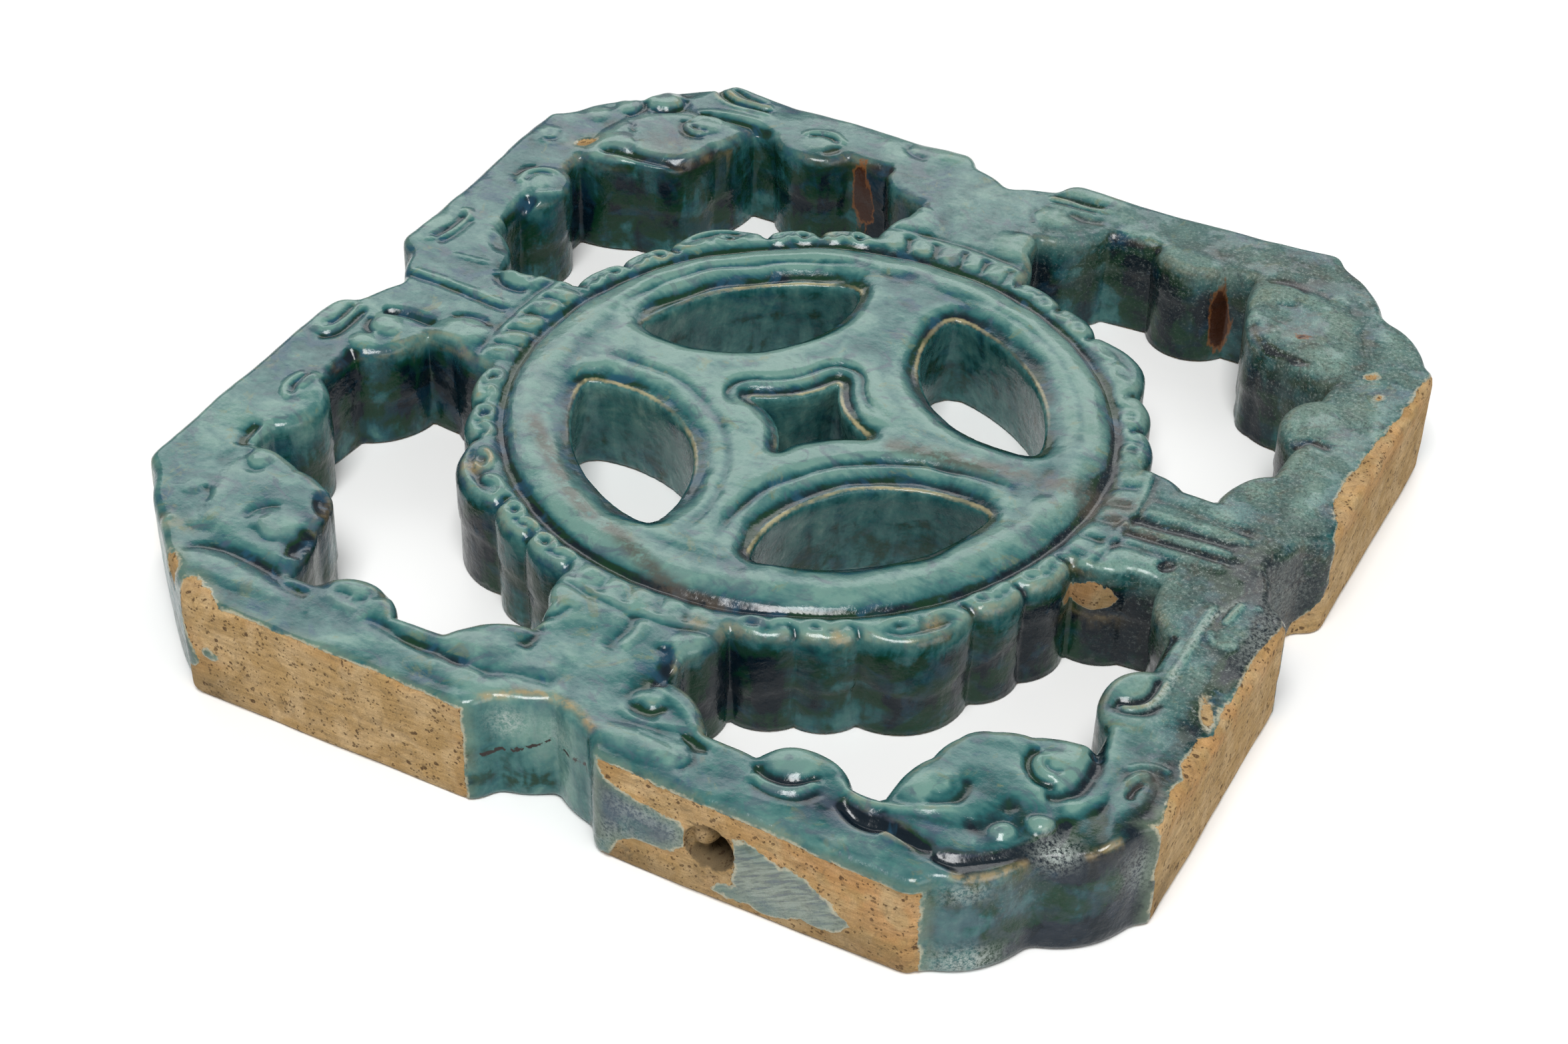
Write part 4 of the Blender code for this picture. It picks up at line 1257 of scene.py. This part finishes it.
FLUSHED = (
    (1, 322.5, -83, 24, 15, 14, 11),
    (0.9, 280, -500, 24, 26, 6, 8),
    (0.7, 340, -500, 12, 12, 6, 14),
    (0.9, 500, -220, 29, 6, 40, 5),
    (0.8, 500, 200, 29, 6, 50, 5),
)
VIOLET = (
    (0.8, -270, -450, 31, 26, 7, 6),
    (0.7, -80, -440, 31, 30, 9, 6),
    (0.9, 200, -475, 31, 34, 8, 6),
    (0.8, 300, -450, 31, 30, 7, 6),
    (0.6, 30, -300, 31, 40, 16, 6),
    (0.6, -250, -120, 31, 18, 40, 6),
    (0.5, -360, 340, 31, 30, 30, 6),
    (0.6, -340, -360, 31, 22, 20, 6),
    (0.35, 120, -110, 31, 40, 30, 6),
    (0.5, -380, 160, 31, 12, 30, 6),
    (0.7, 440, -440, 16, 10, 10, 14),
    (0.9, 385, -475, 16, 14, 9, 12),
    (0.6, 480, -380, 16, 9, 9, 10),
)


def stain(lines, plan):
    """Strength at plan points of soft lines of colour."""
    canvas = Relief(STAIN_CELLS)
    canvas.draw(lines)
    return np.clip(canvas.sample(canvas.height, plan), 0, 1)


def spots(places, marks):
    """Strength at places of soft oval marks."""
    total = np.zeros(len(places))
    for strength, x, y, z, *size in marks:
        away = (places - (x * THOUSANDTH, y * THOUSANDTH, z)) / size
        total += strength * bell(np.sqrt((away * away).sum(1)))
    return np.clip(total, 0, 1)


def crack(places):
    """Height above the dark crack across the front notch, in millimetres, 6 away from it."""
    x, y, z = places.T
    course = np.interp(x, *np.array(CRACK_COURSE).T) + 1.3 * cloud(places, 2.2, 41)
    crossed = (y < -118) & (x > -18) & (x < 12)
    return np.where(crossed, np.clip(z - course, -6, 6), 6.0)


def wall_glaze_and_shade(places, kind):
    """Darkening of a wall against the face: streaked glaze, a darker band, and painted shade."""
    z = places[:, 2]
    streaks = cloud(places * (1, 1, 0.12), 11, 35) + 0.6 * cloud(places * (1, 1, 0.25), 5, 36)
    streaks = step_up(streaks, -0.35, 0.5)
    level = run_level(places)
    below_lip = step_up(27.0 + 1.5 * cloud(places * (1, 1, 0), 9, 37) - z, -0.8, 3.2)
    band = bell((z - level + 2.5) / 2.6)
    foot = step_up(level - 6 - z, -3, 3)
    # Openings: painted shade below the lip, the glaze's dark streaks and band, lighter near the
    # foot
    opening = below_lip * (0.13 + 0.48 * streaks) + 0.26 * band - 0.08 * foot
    # Outer sides: a little painted shade, more in the band
    side = 0.12 * (0.5 + band)
    piercing = 0.16 * bell((z - 17.5) / 0.9) - 0.10 * step_up(z, 12, 20)
    return np.choose(kind, (side, opening, piercing))


def paint(mesh, outline, relief):
    """Store what the glaze and the clay need to know at every point of the surface."""
    places = places_of(mesh) / MM
    x, _, z = places.T
    plan = places[:, :2] / WIDTH
    _, depth, way, kind = outline.locate(places[:, :2])
    pierced = kind == PIERCING_EDGE
    on_face = step_up(depth, -0.2, 0.9) * step_up(z, BODY_TOP - 7, BODY_TOP - 4)
    wall = 1 - on_face
    fine = relief.sample(relief.hollow_fine, plan)
    broad = relief.sample(relief.hollow_broad, plan)
    uneven = cloud(places, 13.0, 31) + 0.5 * cloud(places, 4.0, 32)

    rim_gap = np.abs(depth + BODY_TOP - np.minimum(z, BODY_TOP) - 1.9)
    thin = 0.4 * (kind == OPENING_EDGE) * bell(rim_gap / 0.55) * step_up(uneven, -0.45, 0.45)
    ridge = on_face * step_up(-fine, 0.30, 0.8) * step_up(cloud(places, 16.0, 33), 0.0, 0.6)
    thin += 0.8 * ridge + spots(places, THINNED) + on_face * stain(TAN_LINES, plan)
    lip = depth - np.maximum(BODY_TOP - 2.6 - z, 0) - 0.8
    kept = step_up(way @ np.array(WORN_SIDE), 0.25, -0.25) * step_up(uneven, -0.9, 0.3)

    # The walls' darkening is partly painted shade of the openings and sides
    dark = wall * wall_glaze_and_shade(places, kind) + 1.3 * spots(places, DARKENED)
    moat = pierced * on_face * kept * bell((depth - 2.3) / 0.9)
    dark += 0.08 * moat + on_face * stain(DARK_LINES, plan) - spots(places, LIGHTENED)

    clay = bare_clay(places, depth, GLAZE_THICKNESS)
    clay = np.maximum(clay, 30 * spots(places, BARE_PATCHES) - 15 + 3 * cloud(places, 2.5, 34))
    in_hole = near_hole(places, HOLE_RADIUS + 0.2)
    (plug_x, _, plug_z), _ = CLAY_PLUG
    plug = np.hypot((x - plug_x) / 4.2, (z - plug_z) / 4.8) + 0.2 * cloud(places, 2.5, 38)
    soiled = in_hole * (0.30 + 0.70 * step_up(plug, 0.75, 1.05))

    values = {
        "hollow": on_face * np.minimum(fine + broad, 0.9),
        "thin": np.clip(thin, 0, 1),
        "rim": np.clip(lip, -6, 6),
        "rimmed": pierced * kept,
        "wall": wall,
        "dark": dark,
        "crack": crack(places),
        "clay": np.where(in_hole, 3.0, clay),
        "grime": np.maximum(soiled, spots(places, GRIMED)),
        "bloom": np.clip(spots(places, BLOOMED) + on_face * stain(SALT_LINES, plan), 0, 1),
        "brown": np.clip(spots(places, BROWNED) + on_face * stain(BROWN_LINES, plan), 0, 1),
        "slate": spots(places, SLATED),
        "smear": spots(places, SMEARED),
        "flush": spots(places, FLUSHED),
        "weather": spots(places, WEATHERED),
        "rust": spots(places, RUSTED),
        "violet": spots(places, VIOLET),
    }
    for name, value in values.items():
        layer = mesh.attributes.new(name, "FLOAT", "POINT")
        layer.data.foreach_set("value", np.ascontiguousarray(value, dtype=np.float32))


# ---------------------------------------------------------------- materials

PALE_TEAL = (0.130, 0.250, 0.214)
GREY_TEAL = (0.052, 0.154, 0.144)
MID_TEAL = (0.013, 0.088, 0.090)
DEEP_TEAL = (0.004, 0.034, 0.040)
DARK_BLUE = (0.001, 0.007, 0.013)
POOL_GREEN = (0.003, 0.030, 0.009)
OPEN_BLUE = (0.010, 0.062, 0.110)
VIOLET_GREY = (0.060, 0.078, 0.115)
THIN_TAN = (0.360, 0.260, 0.120)
OLIVE_TAN = (0.170, 0.185, 0.085)
THIN_GREEN = (0.140, 0.195, 0.135)
RIM_CREAM = (0.460, 0.420, 0.300)
RIM_TAN = (0.420, 0.360, 0.200)
WARM_BROWN = (0.070, 0.056, 0.042)
MATT_GREY = (0.150, 0.190, 0.155)
SALT_WHITE = (0.400, 0.450, 0.420)
SLATE_BLUE = (0.040, 0.060, 0.095)
SMEAR_GREEN = (0.200, 0.235, 0.185)
SMEAR_VIOLET = (0.150, 0.170, 0.180)
RUST_BROWN = (0.045, 0.016, 0.008)
RUST_ORANGE = (0.220, 0.080, 0.020)
CLAY_TAN = (0.395, 0.255, 0.105)
CLAY_PALE = (0.510, 0.360, 0.188)
CLAY_ORANGE = (0.480, 0.235, 0.085)
CLAY_PIT = (0.060, 0.030, 0.014)
CRACK_BLACK = (0.022, 0.014, 0.012)
CLAY_GRIME = (0.085, 0.066, 0.040)

# The glaze from where it lies thin to where it pools: tone and colour
GLAZE_STOPS = (
    (0.0, PALE_TEAL),
    (0.22, GREY_TEAL),
    (0.44, MID_TEAL),
    (0.66, DEEP_TEAL),
    (0.92, DARK_BLUE),
)
SPECULAR_LEVEL = 0.22
COAT_ROUGHNESS = 0.14
BUMP_STRENGTH = 0.6
BUMP_DISTANCE = 0.0005


class Nodes:
    """Adds nodes to a tree, taking inputs either as values or as other nodes' outputs."""

    def __init__(self, tree):
        self.tree = tree

    def add(self, kind, inputs=(), **settings):
        node = self.tree.nodes.new(kind)
        for name, value in settings.items():
            setattr(node, name, value)
        for key, value in dict(inputs).items():
            self.feed(node.inputs[key], value)
        return node

    def feed(self, socket, value):
        if isinstance(value, bpy.types.NodeSocket):
            self.tree.links.new(value, socket)
        else:
            socket.default_value = value

    def maths(self, operation, *values, clamp=False):
        inputs = dict(enumerate(values))
        return self.add("ShaderNodeMath", inputs, operation=operation, use_clamp=clamp).outputs[0]

    def times(self, first, *others, clamp=False):
        """The product of all values."""
        for other in others:
            first = self.maths("MULTIPLY", first, other, clamp=clamp)
        return first

    def times_plus(self, value, factor, other, clamp=False):
        return self.maths("MULTIPLY_ADD", value, factor, other, clamp=clamp)

    def less(self, value, other):
        return self.maths("SUBTRACT", value, other)

    def step(self, value, low, high, to_low=0.0, to_high=1.0):
        """Smoothly from one value to another as the input passes from low to high."""
        inputs = {0: value, 1: low, 2: high, 3: to_low, 4: to_high}
        return self.add("ShaderNodeMapRange", inputs, interpolation_type="SMOOTHSTEP").outputs[0]

    def mix(self, share, under, over, mode="MIX"):
        inputs = {0: share, 6: under, 7: over}
        return self.add("ShaderNodeMix", inputs, data_type="RGBA", blend_type=mode).outputs[2]

    def over(self, under, colour, *shares):
        """A plain colour laid over another, as far as the product of the shares."""
        return self.mix(self.times(*shares), under, (*colour, 1))

    def shaded(self, colour, shade):
        return self.mix(1.0, colour, shade, "MULTIPLY")

    def noise(self, place, scale, detail=2.0, roughness=0.5, distortion=0.0):
        inputs = {
            "Vector": place,
            "Scale": scale,
            "Detail": detail,
            "Roughness": roughness,
            "Distortion": distortion,
        }
        return self.add("ShaderNodeTexNoise", inputs).outputs["Fac"]

    def patches(self, noise, low, high, to_low=0.0, to_high=1.0):
        """Patches of a noise, given by all its settings, where it passes from low to high."""
        return self.step(self.noise(*noise), low, high, to_low, to_high)

    def pits(self, place, scale, size, sharpness):
        """Round pits, one to a cell of the scale, as wide as size says."""
        inputs = {"Vector": place, "Scale": scale, "Randomness": 1.0}
        cells = self.add("ShaderNodeTexVoronoi", inputs).outputs["Distance"]
        return self.step(self.less(cells, size), 0.06, -sharpness)

    def vector(self, operation, place, other):
        inputs = {0: place, 1: other}
        return self.add("ShaderNodeVectorMath", inputs, operation=operation).outputs[0]

    def scaled(self, place, *factors):
        return self.vector("MULTIPLY", place, factors)

    def ramp(self, value, stops):
        node = self.add("ShaderNodeValToRGB", {0: value})
        elements = node.color_ramp.elements
        while len(elements) < len(stops):
            elements.new(0.5)
        for element, (place, colour) in zip(elements, stops):
            element.position = place
            element.color = (*colour, 1.0)
        return node.outputs[0]

    def stored(self, name):
        return self.add("ShaderNodeAttribute", attribute_name=name).outputs["Fac"]

    def grouped(self, group, **inputs):
        """The outputs of a group that is given its inputs by name."""
        return self.add("ShaderNodeGroup", inputs, node_tree=group).outputs


def new_group(name, values, result):
    """A group that takes a place and values, and gives a colour and one more result."""
    group = bpy.data.node_groups.new(name, "ShaderNodeTree")
    sockets = [("Place", "INPUT", "NodeSocketVector")]
    sockets += [(value, "INPUT", "NodeSocketFloat") for value in values]
    sockets += [("Colour", "OUTPUT", "NodeSocketColor"), (result, "OUTPUT", "NodeSocketFloat")]
    for socket, way, kind in sockets:
        group.interface.new_socket(socket, in_out=way, socket_type=kind)
    nodes = Nodes(group)
    given = nodes.add("NodeGroupInput").outputs
    return group, nodes, [given[socket] for socket in ("Place", *values)]


def glaze_group():
    """Colour of the glaze from its place, how thick it lies and how much of it is wall."""
    group, nodes, given = new_group("glaze colour", ("Hollow", "Wall", "Dark"), "Tone")
    place, hollow, wall, dark = given
    broad = nodes.noise(place, 0.024, 2.0, 0.5, 0.6)
    middle = nodes.noise(place, 0.075, 3.0, 0.55, 1.6)
    brushed = nodes.noise(nodes.scaled(place, 0.55, 1.6, 1.0), 0.16, 4.0, 0.6, 1.2)
    fine = nodes.noise(place, 0.7, 3.0, 0.6)
    hanging = nodes.noise(nodes.scaled(place, 1.0, 1.0, 0.16), 0.20, 3.0, 0.55, 0.4)
    tone = nodes.times_plus(hollow, 0.62, 0.29)
    for noise, amount in ((broad, 0.55), (middle, 0.75), (brushed, 0.45), (fine, 0.22)):
        tone = nodes.times_plus(nodes.less(noise, 0.5), amount, tone)
    # Walls: hanging streaks of the glaze, and a slight painted shade all over
    streak = nodes.times(nodes.less(hanging, 0.42), 0.65)
    tone = nodes.times_plus(nodes.maths("ADD", streak, 0.04), wall, tone)
    tone = nodes.maths("ADD", tone, dark)
    colour = nodes.ramp(tone, GLAZE_STOPS)

    pooled = nodes.noise(nodes.scaled(place, 1.0, 1.0, 1.6), 0.055, 3.0, 0.55, 0.8)
    green = nodes.step(nodes.times_plus(wall, 0.05, pooled), 0.44, 0.58)
    reach = nodes.times_plus(wall, 0.15, tone)
    green = nodes.times(green, nodes.step(reach, 0.50, 0.75), nodes.step(reach, 1.15, 0.90))
    colour = nodes.over(colour, POOL_GREEN, green, 0.85)
    leftwards = nodes.add("ShaderNodeSeparateXYZ", {0: place}).outputs[0]
    blue = nodes.times_plus(leftwards, -0.0004, nodes.noise(place, 0.07, 3.0, 0.55, 1.4))
    blue = nodes.times(nodes.step(blue, 0.54, 0.66), nodes.step(tone, 0.24, 0.40))
    on_wall = nodes.step(wall, 0.2, 0.8, 1.0, 0.45)
    colour = nodes.over(colour, OPEN_BLUE, blue, on_wall, 0.65)
    mauve = nodes.patches((nodes.scaled(place, 1.0, 1.3, 0.6), 0.085, 4.0, 0.6, 1.8), 0.53, 0.68)
    on_wall = nodes.step(wall, 0.2, 0.8, 0.55, 0.20)
    colour = nodes.over(colour, VIOLET_GREY, mauve, nodes.step(tone, 0.75, 0.45), on_wall)
    olive = nodes.patches((place, 0.11, 4.0, 0.65, 1.2), 0.58, 0.70)
    on_wall = nodes.step(wall, 0.2, 0.8, 1.0, 0.15)
    colour = nodes.over(colour, OLIVE_TAN, olive, nodes.step(tone, 0.62, 0.40), on_wall, 0.45)
    nodes.add("NodeGroupOutput", {"Colour": colour, "Tone": tone})
    return group


def clay_group():
    """Colour and unevenness of bare clay: dark pits, pale grit, flushed and grimy places."""
    group, nodes, given = new_group("bare clay", ("Edge", "Flush", "Grime"), "Height")
    place, edge, flush, grime = given
    brushed = nodes.noise(nodes.scaled(place, 0.16, 0.16, 1.0), 1.1, 4.0, 0.65)
    grain = nodes.noise(place, 2.6, 4.0, 0.7)
    pale = nodes.patches((place, 0.10, 4.0, 0.65, 0.8), 0.35, 0.68)
    colour = nodes.mix(pale, (*CLAY_TAN, 1), (*CLAY_PALE, 1))
    beside = nodes.times(nodes.step(edge, 5.0, 0.3), 0.35)
    flush = nodes.maths("MAXIMUM", flush, beside)
    flush = nodes.times(flush, nodes.patches((place, 0.16, 2.0), 0.36, 0.58))
    colour = nodes.over(colour, CLAY_ORANGE, flush, 0.60)
    colour = nodes.shaded(colour, nodes.step(brushed, 0.30, 0.70, 0.76, 1.08))
    colour = nodes.shaded(colour, nodes.step(grain, 0.30, 0.72, 0.80, 1.12))
    smudge = nodes.patches((place, 0.24, 5.0, 0.75, 1.5), 0.50, 0.72)
    grime = nodes.times_plus(smudge, 0.55, grime, clamp=True)
    colour = nodes.over(colour, CLAY_GRIME, grime, 0.8)
    bent = nodes.vector("ADD", place, nodes.noise(place, 0.8, 2.0))
    size = nodes.patches((place, 0.30, 1.0), 0.44, 0.74, 0.0, 0.30)
    pits = nodes.pits(bent, 0.36, size, 0.04)
    size = nodes.patches((place, 0.40, 2.0), 0.36, 0.70, 0.0, 0.42)
    specks = nodes.pits(bent, 0.95, size, 0.05)
    pits = nodes.maths("MAXIMUM", pits, nodes.times(specks, 0.85))
    pits = nodes.times(pits, nodes.patches((place, 1.9, 3.0, 0.7), 0.30, 0.50))
    colour = nodes.over(colour, CLAY_PIT, pits, 0.85)
    height = nodes.less(nodes.times(grain, 0.35), nodes.times(pits, 0.7))
    nodes.add("NodeGroupOutput", {"Colour": colour, "Height": height})
    return group


def tile_material():
    """The glaze with all that has come over it, and the bare clay where it stops."""
    material = bpy.data.materials.new("teal_glaze")
    material.use_nodes = True
    tree = material.node_tree
    nodes = Nodes(tree)
    shader = tree.nodes["Principled BSDF"]
    metres = nodes.add("ShaderNodeTexCoord").outputs["Object"]
    place = nodes.scaled(metres, 1000, 1000, 1000)
    wall, weather = nodes.stored("wall"), nodes.stored("weather")
    hollow = nodes.times(nodes.stored("hollow"), nodes.times_plus(weather, 0.9, 1.0))
    ragged = nodes.less(nodes.noise(place, 1.1, 3.0, 0.6), 0.5)
    edge = nodes.times_plus(ragged, 1.5, nodes.stored("clay"))
    mottle = nodes.noise(place, 0.16, 3.0, 0.6, 0.6)
    speckle = nodes.noise(place, 1.1, 5.0, 0.8)
    dark = nodes.stored("dark")
    glaze = nodes.grouped(glaze_group(), Place=place, Hollow=hollow, Wall=wall, Dark=dark)
    colour = glaze["Colour"]

    # Clouding, thin places and browning
    violet = nodes.times(nodes.stored("violet"), nodes.step(mottle, 0.38, 0.58))
    colour = nodes.over(colour, VIOLET_GREY, violet, nodes.step(hollow, 0.40, -0.05), 0.55)
    broken = nodes.patches((place, 0.40, 3.0, 0.65), 0.30, 0.60, 0.15, 1.0)
    colour = nodes.over(colour, THIN_TAN, nodes.stored("thin"), broken, 0.8)
    broken = nodes.patches((place, 0.25, 4.0, 0.65), 0.30, 0.55)
    colour = nodes.over(colour, WARM_BROWN, nodes.stored("brown"), broken, 0.75)
    slate = nodes.times(nodes.stored("slate"), nodes.step(mottle, 0.25, 0.55))
    colour = nodes.over(colour, SLATE_BLUE, nodes.times(slate, 0.85, clamp=True))

    # Weathering: a matt film, brown tints, pits and salt
    film = nodes.times(weather, nodes.patches((place, 0.085, 4.0, 0.6), 0.38, 0.64))
    film = nodes.times(film, nodes.step(glaze["Tone"], 0.85, 0.45, 0.15, 1.0))
    colour = nodes.over(colour, MATT_GREY, film, 0.55)
    tinted = nodes.patches((place, 0.20, 4.0, 0.65, 1.0), 0.52, 0.68)
    colour = nodes.over(colour, WARM_BROWN, weather, tinted, 0.40)
    colour = nodes.over(colour, DARK_BLUE, weather, nodes.step(speckle, 0.47, 0.40), 0.50)
    salt = nodes.times(weather, nodes.step(speckle, 0.54, 0.62), 0.40)
    bloom = nodes.times(nodes.stored("bloom"), nodes.step(speckle, 0.40, 0.60))
    salt = nodes.maths("MAXIMUM", salt, bloom)
    colour = nodes.over(colour, SALT_WHITE, salt)

    # Rust streaks and the tan lines round the piercings
    wavy = nodes.less(nodes.noise(nodes.scaled(place, 1, 1, 0.4), 0.7, 3.0, 0.6), 0.5)
    rust = nodes.times_plus(wavy, 0.7, nodes.stored("rust"))
    colour = nodes.over(colour, RUST_ORANGE, nodes.step(rust, 0.32, 0.50, 0.0, 0.8))
    colour = nodes.over(colour, RUST_BROWN, nodes.step(rust, 0.45, 0.62))
    gap = nodes.less(nodes.maths("ABSOLUTE", nodes.stored("rim")), 0.4)
    gap = nodes.times_plus(nodes.noise(place, 0.9, 2.0), 0.8, gap)
    line = nodes.times(nodes.step(gap, 0.80, 0.10), nodes.stored("rimmed"))
    colour = nodes.over(colour, RIM_TAN, line, nodes.step(mottle, 0.30, 0.55, 0.25, 0.80))

    # The wiped smear, the crack, and the glaze thinning out towards the clay
    thinned = nodes.times(nodes.step(edge, -4.0, -0.5), nodes.step(mottle, 0.30, 0.50))
    colour = nodes.over(colour, THIN_GREEN, thinned, nodes.step(weather, 0.3, 0.1), 0.55)
    turning = {0: place, "Angle": 0.56}
    slanting = nodes.add("ShaderNodeVectorRotate", turning, rotation_type="Y_AXIS").outputs[0]
    wiped = nodes.noise(nodes.scaled(slanting, 0.09, 0.5, 0.8), 1.5, 5.0, 0.65, 0.4)
    smear = nodes.stored("smear")
    under = nodes.mix(nodes.step(wiped, 0.40, 0.52), (*SMEAR_VIOLET, 1), (*SMEAR_GREEN, 1))
    colour = nodes.mix(nodes.times(smear, 0.75, clamp=True), colour, under)
    smear = nodes.times(smear, nodes.step(wiped, 0.44, 0.60), clamp=True)
    colour = nodes.over(colour, SALT_WHITE, smear, 0.32)
    broken = nodes.patches((place, 0.34, 3.0, 0.6), 0.44, 0.58)
    gap = nodes.maths("ADD", nodes.maths("ABSOLUTE", nodes.stored("crack")), broken)
    colour = nodes.over(colour, CRACK_BLACK, nodes.step(gap, 0.95, 0.50))
    rim = nodes.times(nodes.step(edge, -1.0, -0.2), nodes.patches((place, 0.30), 0.38, 0.55))
    colour = nodes.over(colour, RIM_CREAM, rim, 0.7)

    flush, grime = nodes.stored("flush"), nodes.stored("grime")
    clay = nodes.grouped(clay_group(), Place=place, Edge=edge, Flush=flush, Grime=grime)
    bare = nodes.step(edge, -0.15, 0.15)
    colour = nodes.mix(bare, colour, clay["Colour"])
    nodes.feed(shader.inputs["Base Color"], colour)

    gloss = nodes.patches((place, 0.35, 3.0, 0.6), 0.3, 0.7, 0.16, 0.30)
    dull = nodes.maths("MAXIMUM", nodes.times(film, 0.45), nodes.times(salt, 0.5))
    rough = nodes.maths("ADD", gloss, dull)
    rough = nodes.maths("ADD", rough, nodes.times(bare, 0.7), clamp=True)
    nodes.feed(shader.inputs["Roughness"], rough)
    shader.inputs["Specular IOR Level"].default_value = SPECULAR_LEVEL
    shader.inputs["Coat Roughness"].default_value = COAT_ROUGHNESS
    glassy = nodes.times(nodes.step(wall, 0.0, 1.0, 0.45, 0.06), nodes.step(rough, 0.45, 0.30))
    nodes.feed(shader.inputs["Coat Weight"], glassy)

    ripple = nodes.times(nodes.noise(place, 0.33, 3.0, 0.55), 1.1)
    ripple = nodes.times_plus(speckle, nodes.times(weather, 0.3), ripple)
    heights = {0: bare, 2: ripple, 3: clay["Height"]}
    height = nodes.add("ShaderNodeMix", heights, data_type="FLOAT").outputs[0]
    bump = {"Strength": BUMP_STRENGTH, "Distance": BUMP_DISTANCE, "Height": height}
    nodes.feed(shader.inputs["Normal"], nodes.add("ShaderNodeBump", bump).outputs[0])
    return material


# ---------------------------------------------------------------- the tile

loops = plan_loops()
outline = Outline(loops)
relief = make_relief()
body = with_peg_hole(slab(loops))
body = with_modifier(body, "REMESH", mode="VOXEL", voxel_size=VOXEL, adaptivity=0.0)
shape_body(body, outline, relief)
body = with_modifier(body, "DECIMATE", ratio=TRIANGLE_TARGET / (2 * len(body.polygons)))
body.shade_smooth()
paint(body, outline, relief)

tile = in_scene("glazed_tile", body)
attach(tile, "root")
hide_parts("breeze_tile")
body.materials.append(tile_material())


# ---------------------------------------------------------------- floor, camera and light

FLOOR_HALF_SIZE = 6
PAPER_WHITE = (0.95, 0.95, 0.94, 1)
CAMERA_AZIMUTH = radians(26.99)
CAMERA_ELEVATION = radians(38.85)
CAMERA_ROLL = radians(1.40)
CAMERA_TARGET = Vector((-0.007, -0.032, 0.0)) * SIDE
CAMERA_DISTANCE = 2.691 * SIDE
CAMERA_LENS = 64.52
SENSOR_WIDTH = 36
WORLD_WHITE = (1, 1, 1, 1)
WORLD_STRENGTH = 0.28
# Lights: name, place, what they aim at, size and power
LIGHTS = (
    ("backdrop light", (-1.1, 1.9, 1.50), (0, 0, 0), (2.8, 1.1), 21),
    ("overhead", (0.3, -0.85, 1.8), (0, 0, 0), (0.8, 0.8), 35),
    ("right", (1.6, -0.7, 0.9), (0, 0, 0.02), (1.2, 1.0), 8),
)

bm = bmesh.new()
bmesh.ops.create_grid(bm, x_segments=1, y_segments=1, size=FLOOR_HALF_SIZE)
floor = in_scene("floor", mesh_from("floor", bm))
paper = bpy.data.materials.new("paper")
paper.use_nodes = True
paper.node_tree.nodes["Principled BSDF"].inputs["Base Color"].default_value = PAPER_WHITE
floor.data.materials.append(paper)

level = cos(CAMERA_ELEVATION)
back = Vector((sin(CAMERA_AZIMUTH) * level, -cos(CAMERA_AZIMUTH) * level, sin(CAMERA_ELEVATION)))
across = Vector((0, 0, 1)).cross(back).normalized()
upward = back.cross(across)
right = across * cos(CAMERA_ROLL) + upward * sin(CAMERA_ROLL)
top = upward * cos(CAMERA_ROLL) - across * sin(CAMERA_ROLL)
view = Matrix((right, top, back)).transposed().to_4x4()
view.translation = CAMERA_TARGET + back * CAMERA_DISTANCE
camera_data = bpy.data.cameras.new("camera")
camera_data.lens = CAMERA_LENS
camera_data.sensor_width = SENSOR_WIDTH
camera = in_scene("camera", camera_data)
camera.matrix_world = view
bpy.context.scene.camera = camera

for name, place, aim, size, power in LIGHTS:
    light = bpy.data.lights.new(name, "AREA")
    light.shape = "RECTANGLE"
    light.size, light.size_y = size
    light.energy = power
    lamp = in_scene(name, light)
    lamp.location = place
    lamp.rotation_euler = (Vector(aim) - Vector(place)).to_track_quat("-Z", "Y").to_euler()

world = bpy.data.worlds.new("studio")
world.use_nodes = True
world.node_tree.nodes["Background"].inputs["Color"].default_value = WORLD_WHITE
world.node_tree.nodes["Background"].inputs["Strength"].default_value = WORLD_STRENGTH
bpy.context.scene.world = world
bpy.context.scene.view_settings.view_transform = "Standard"
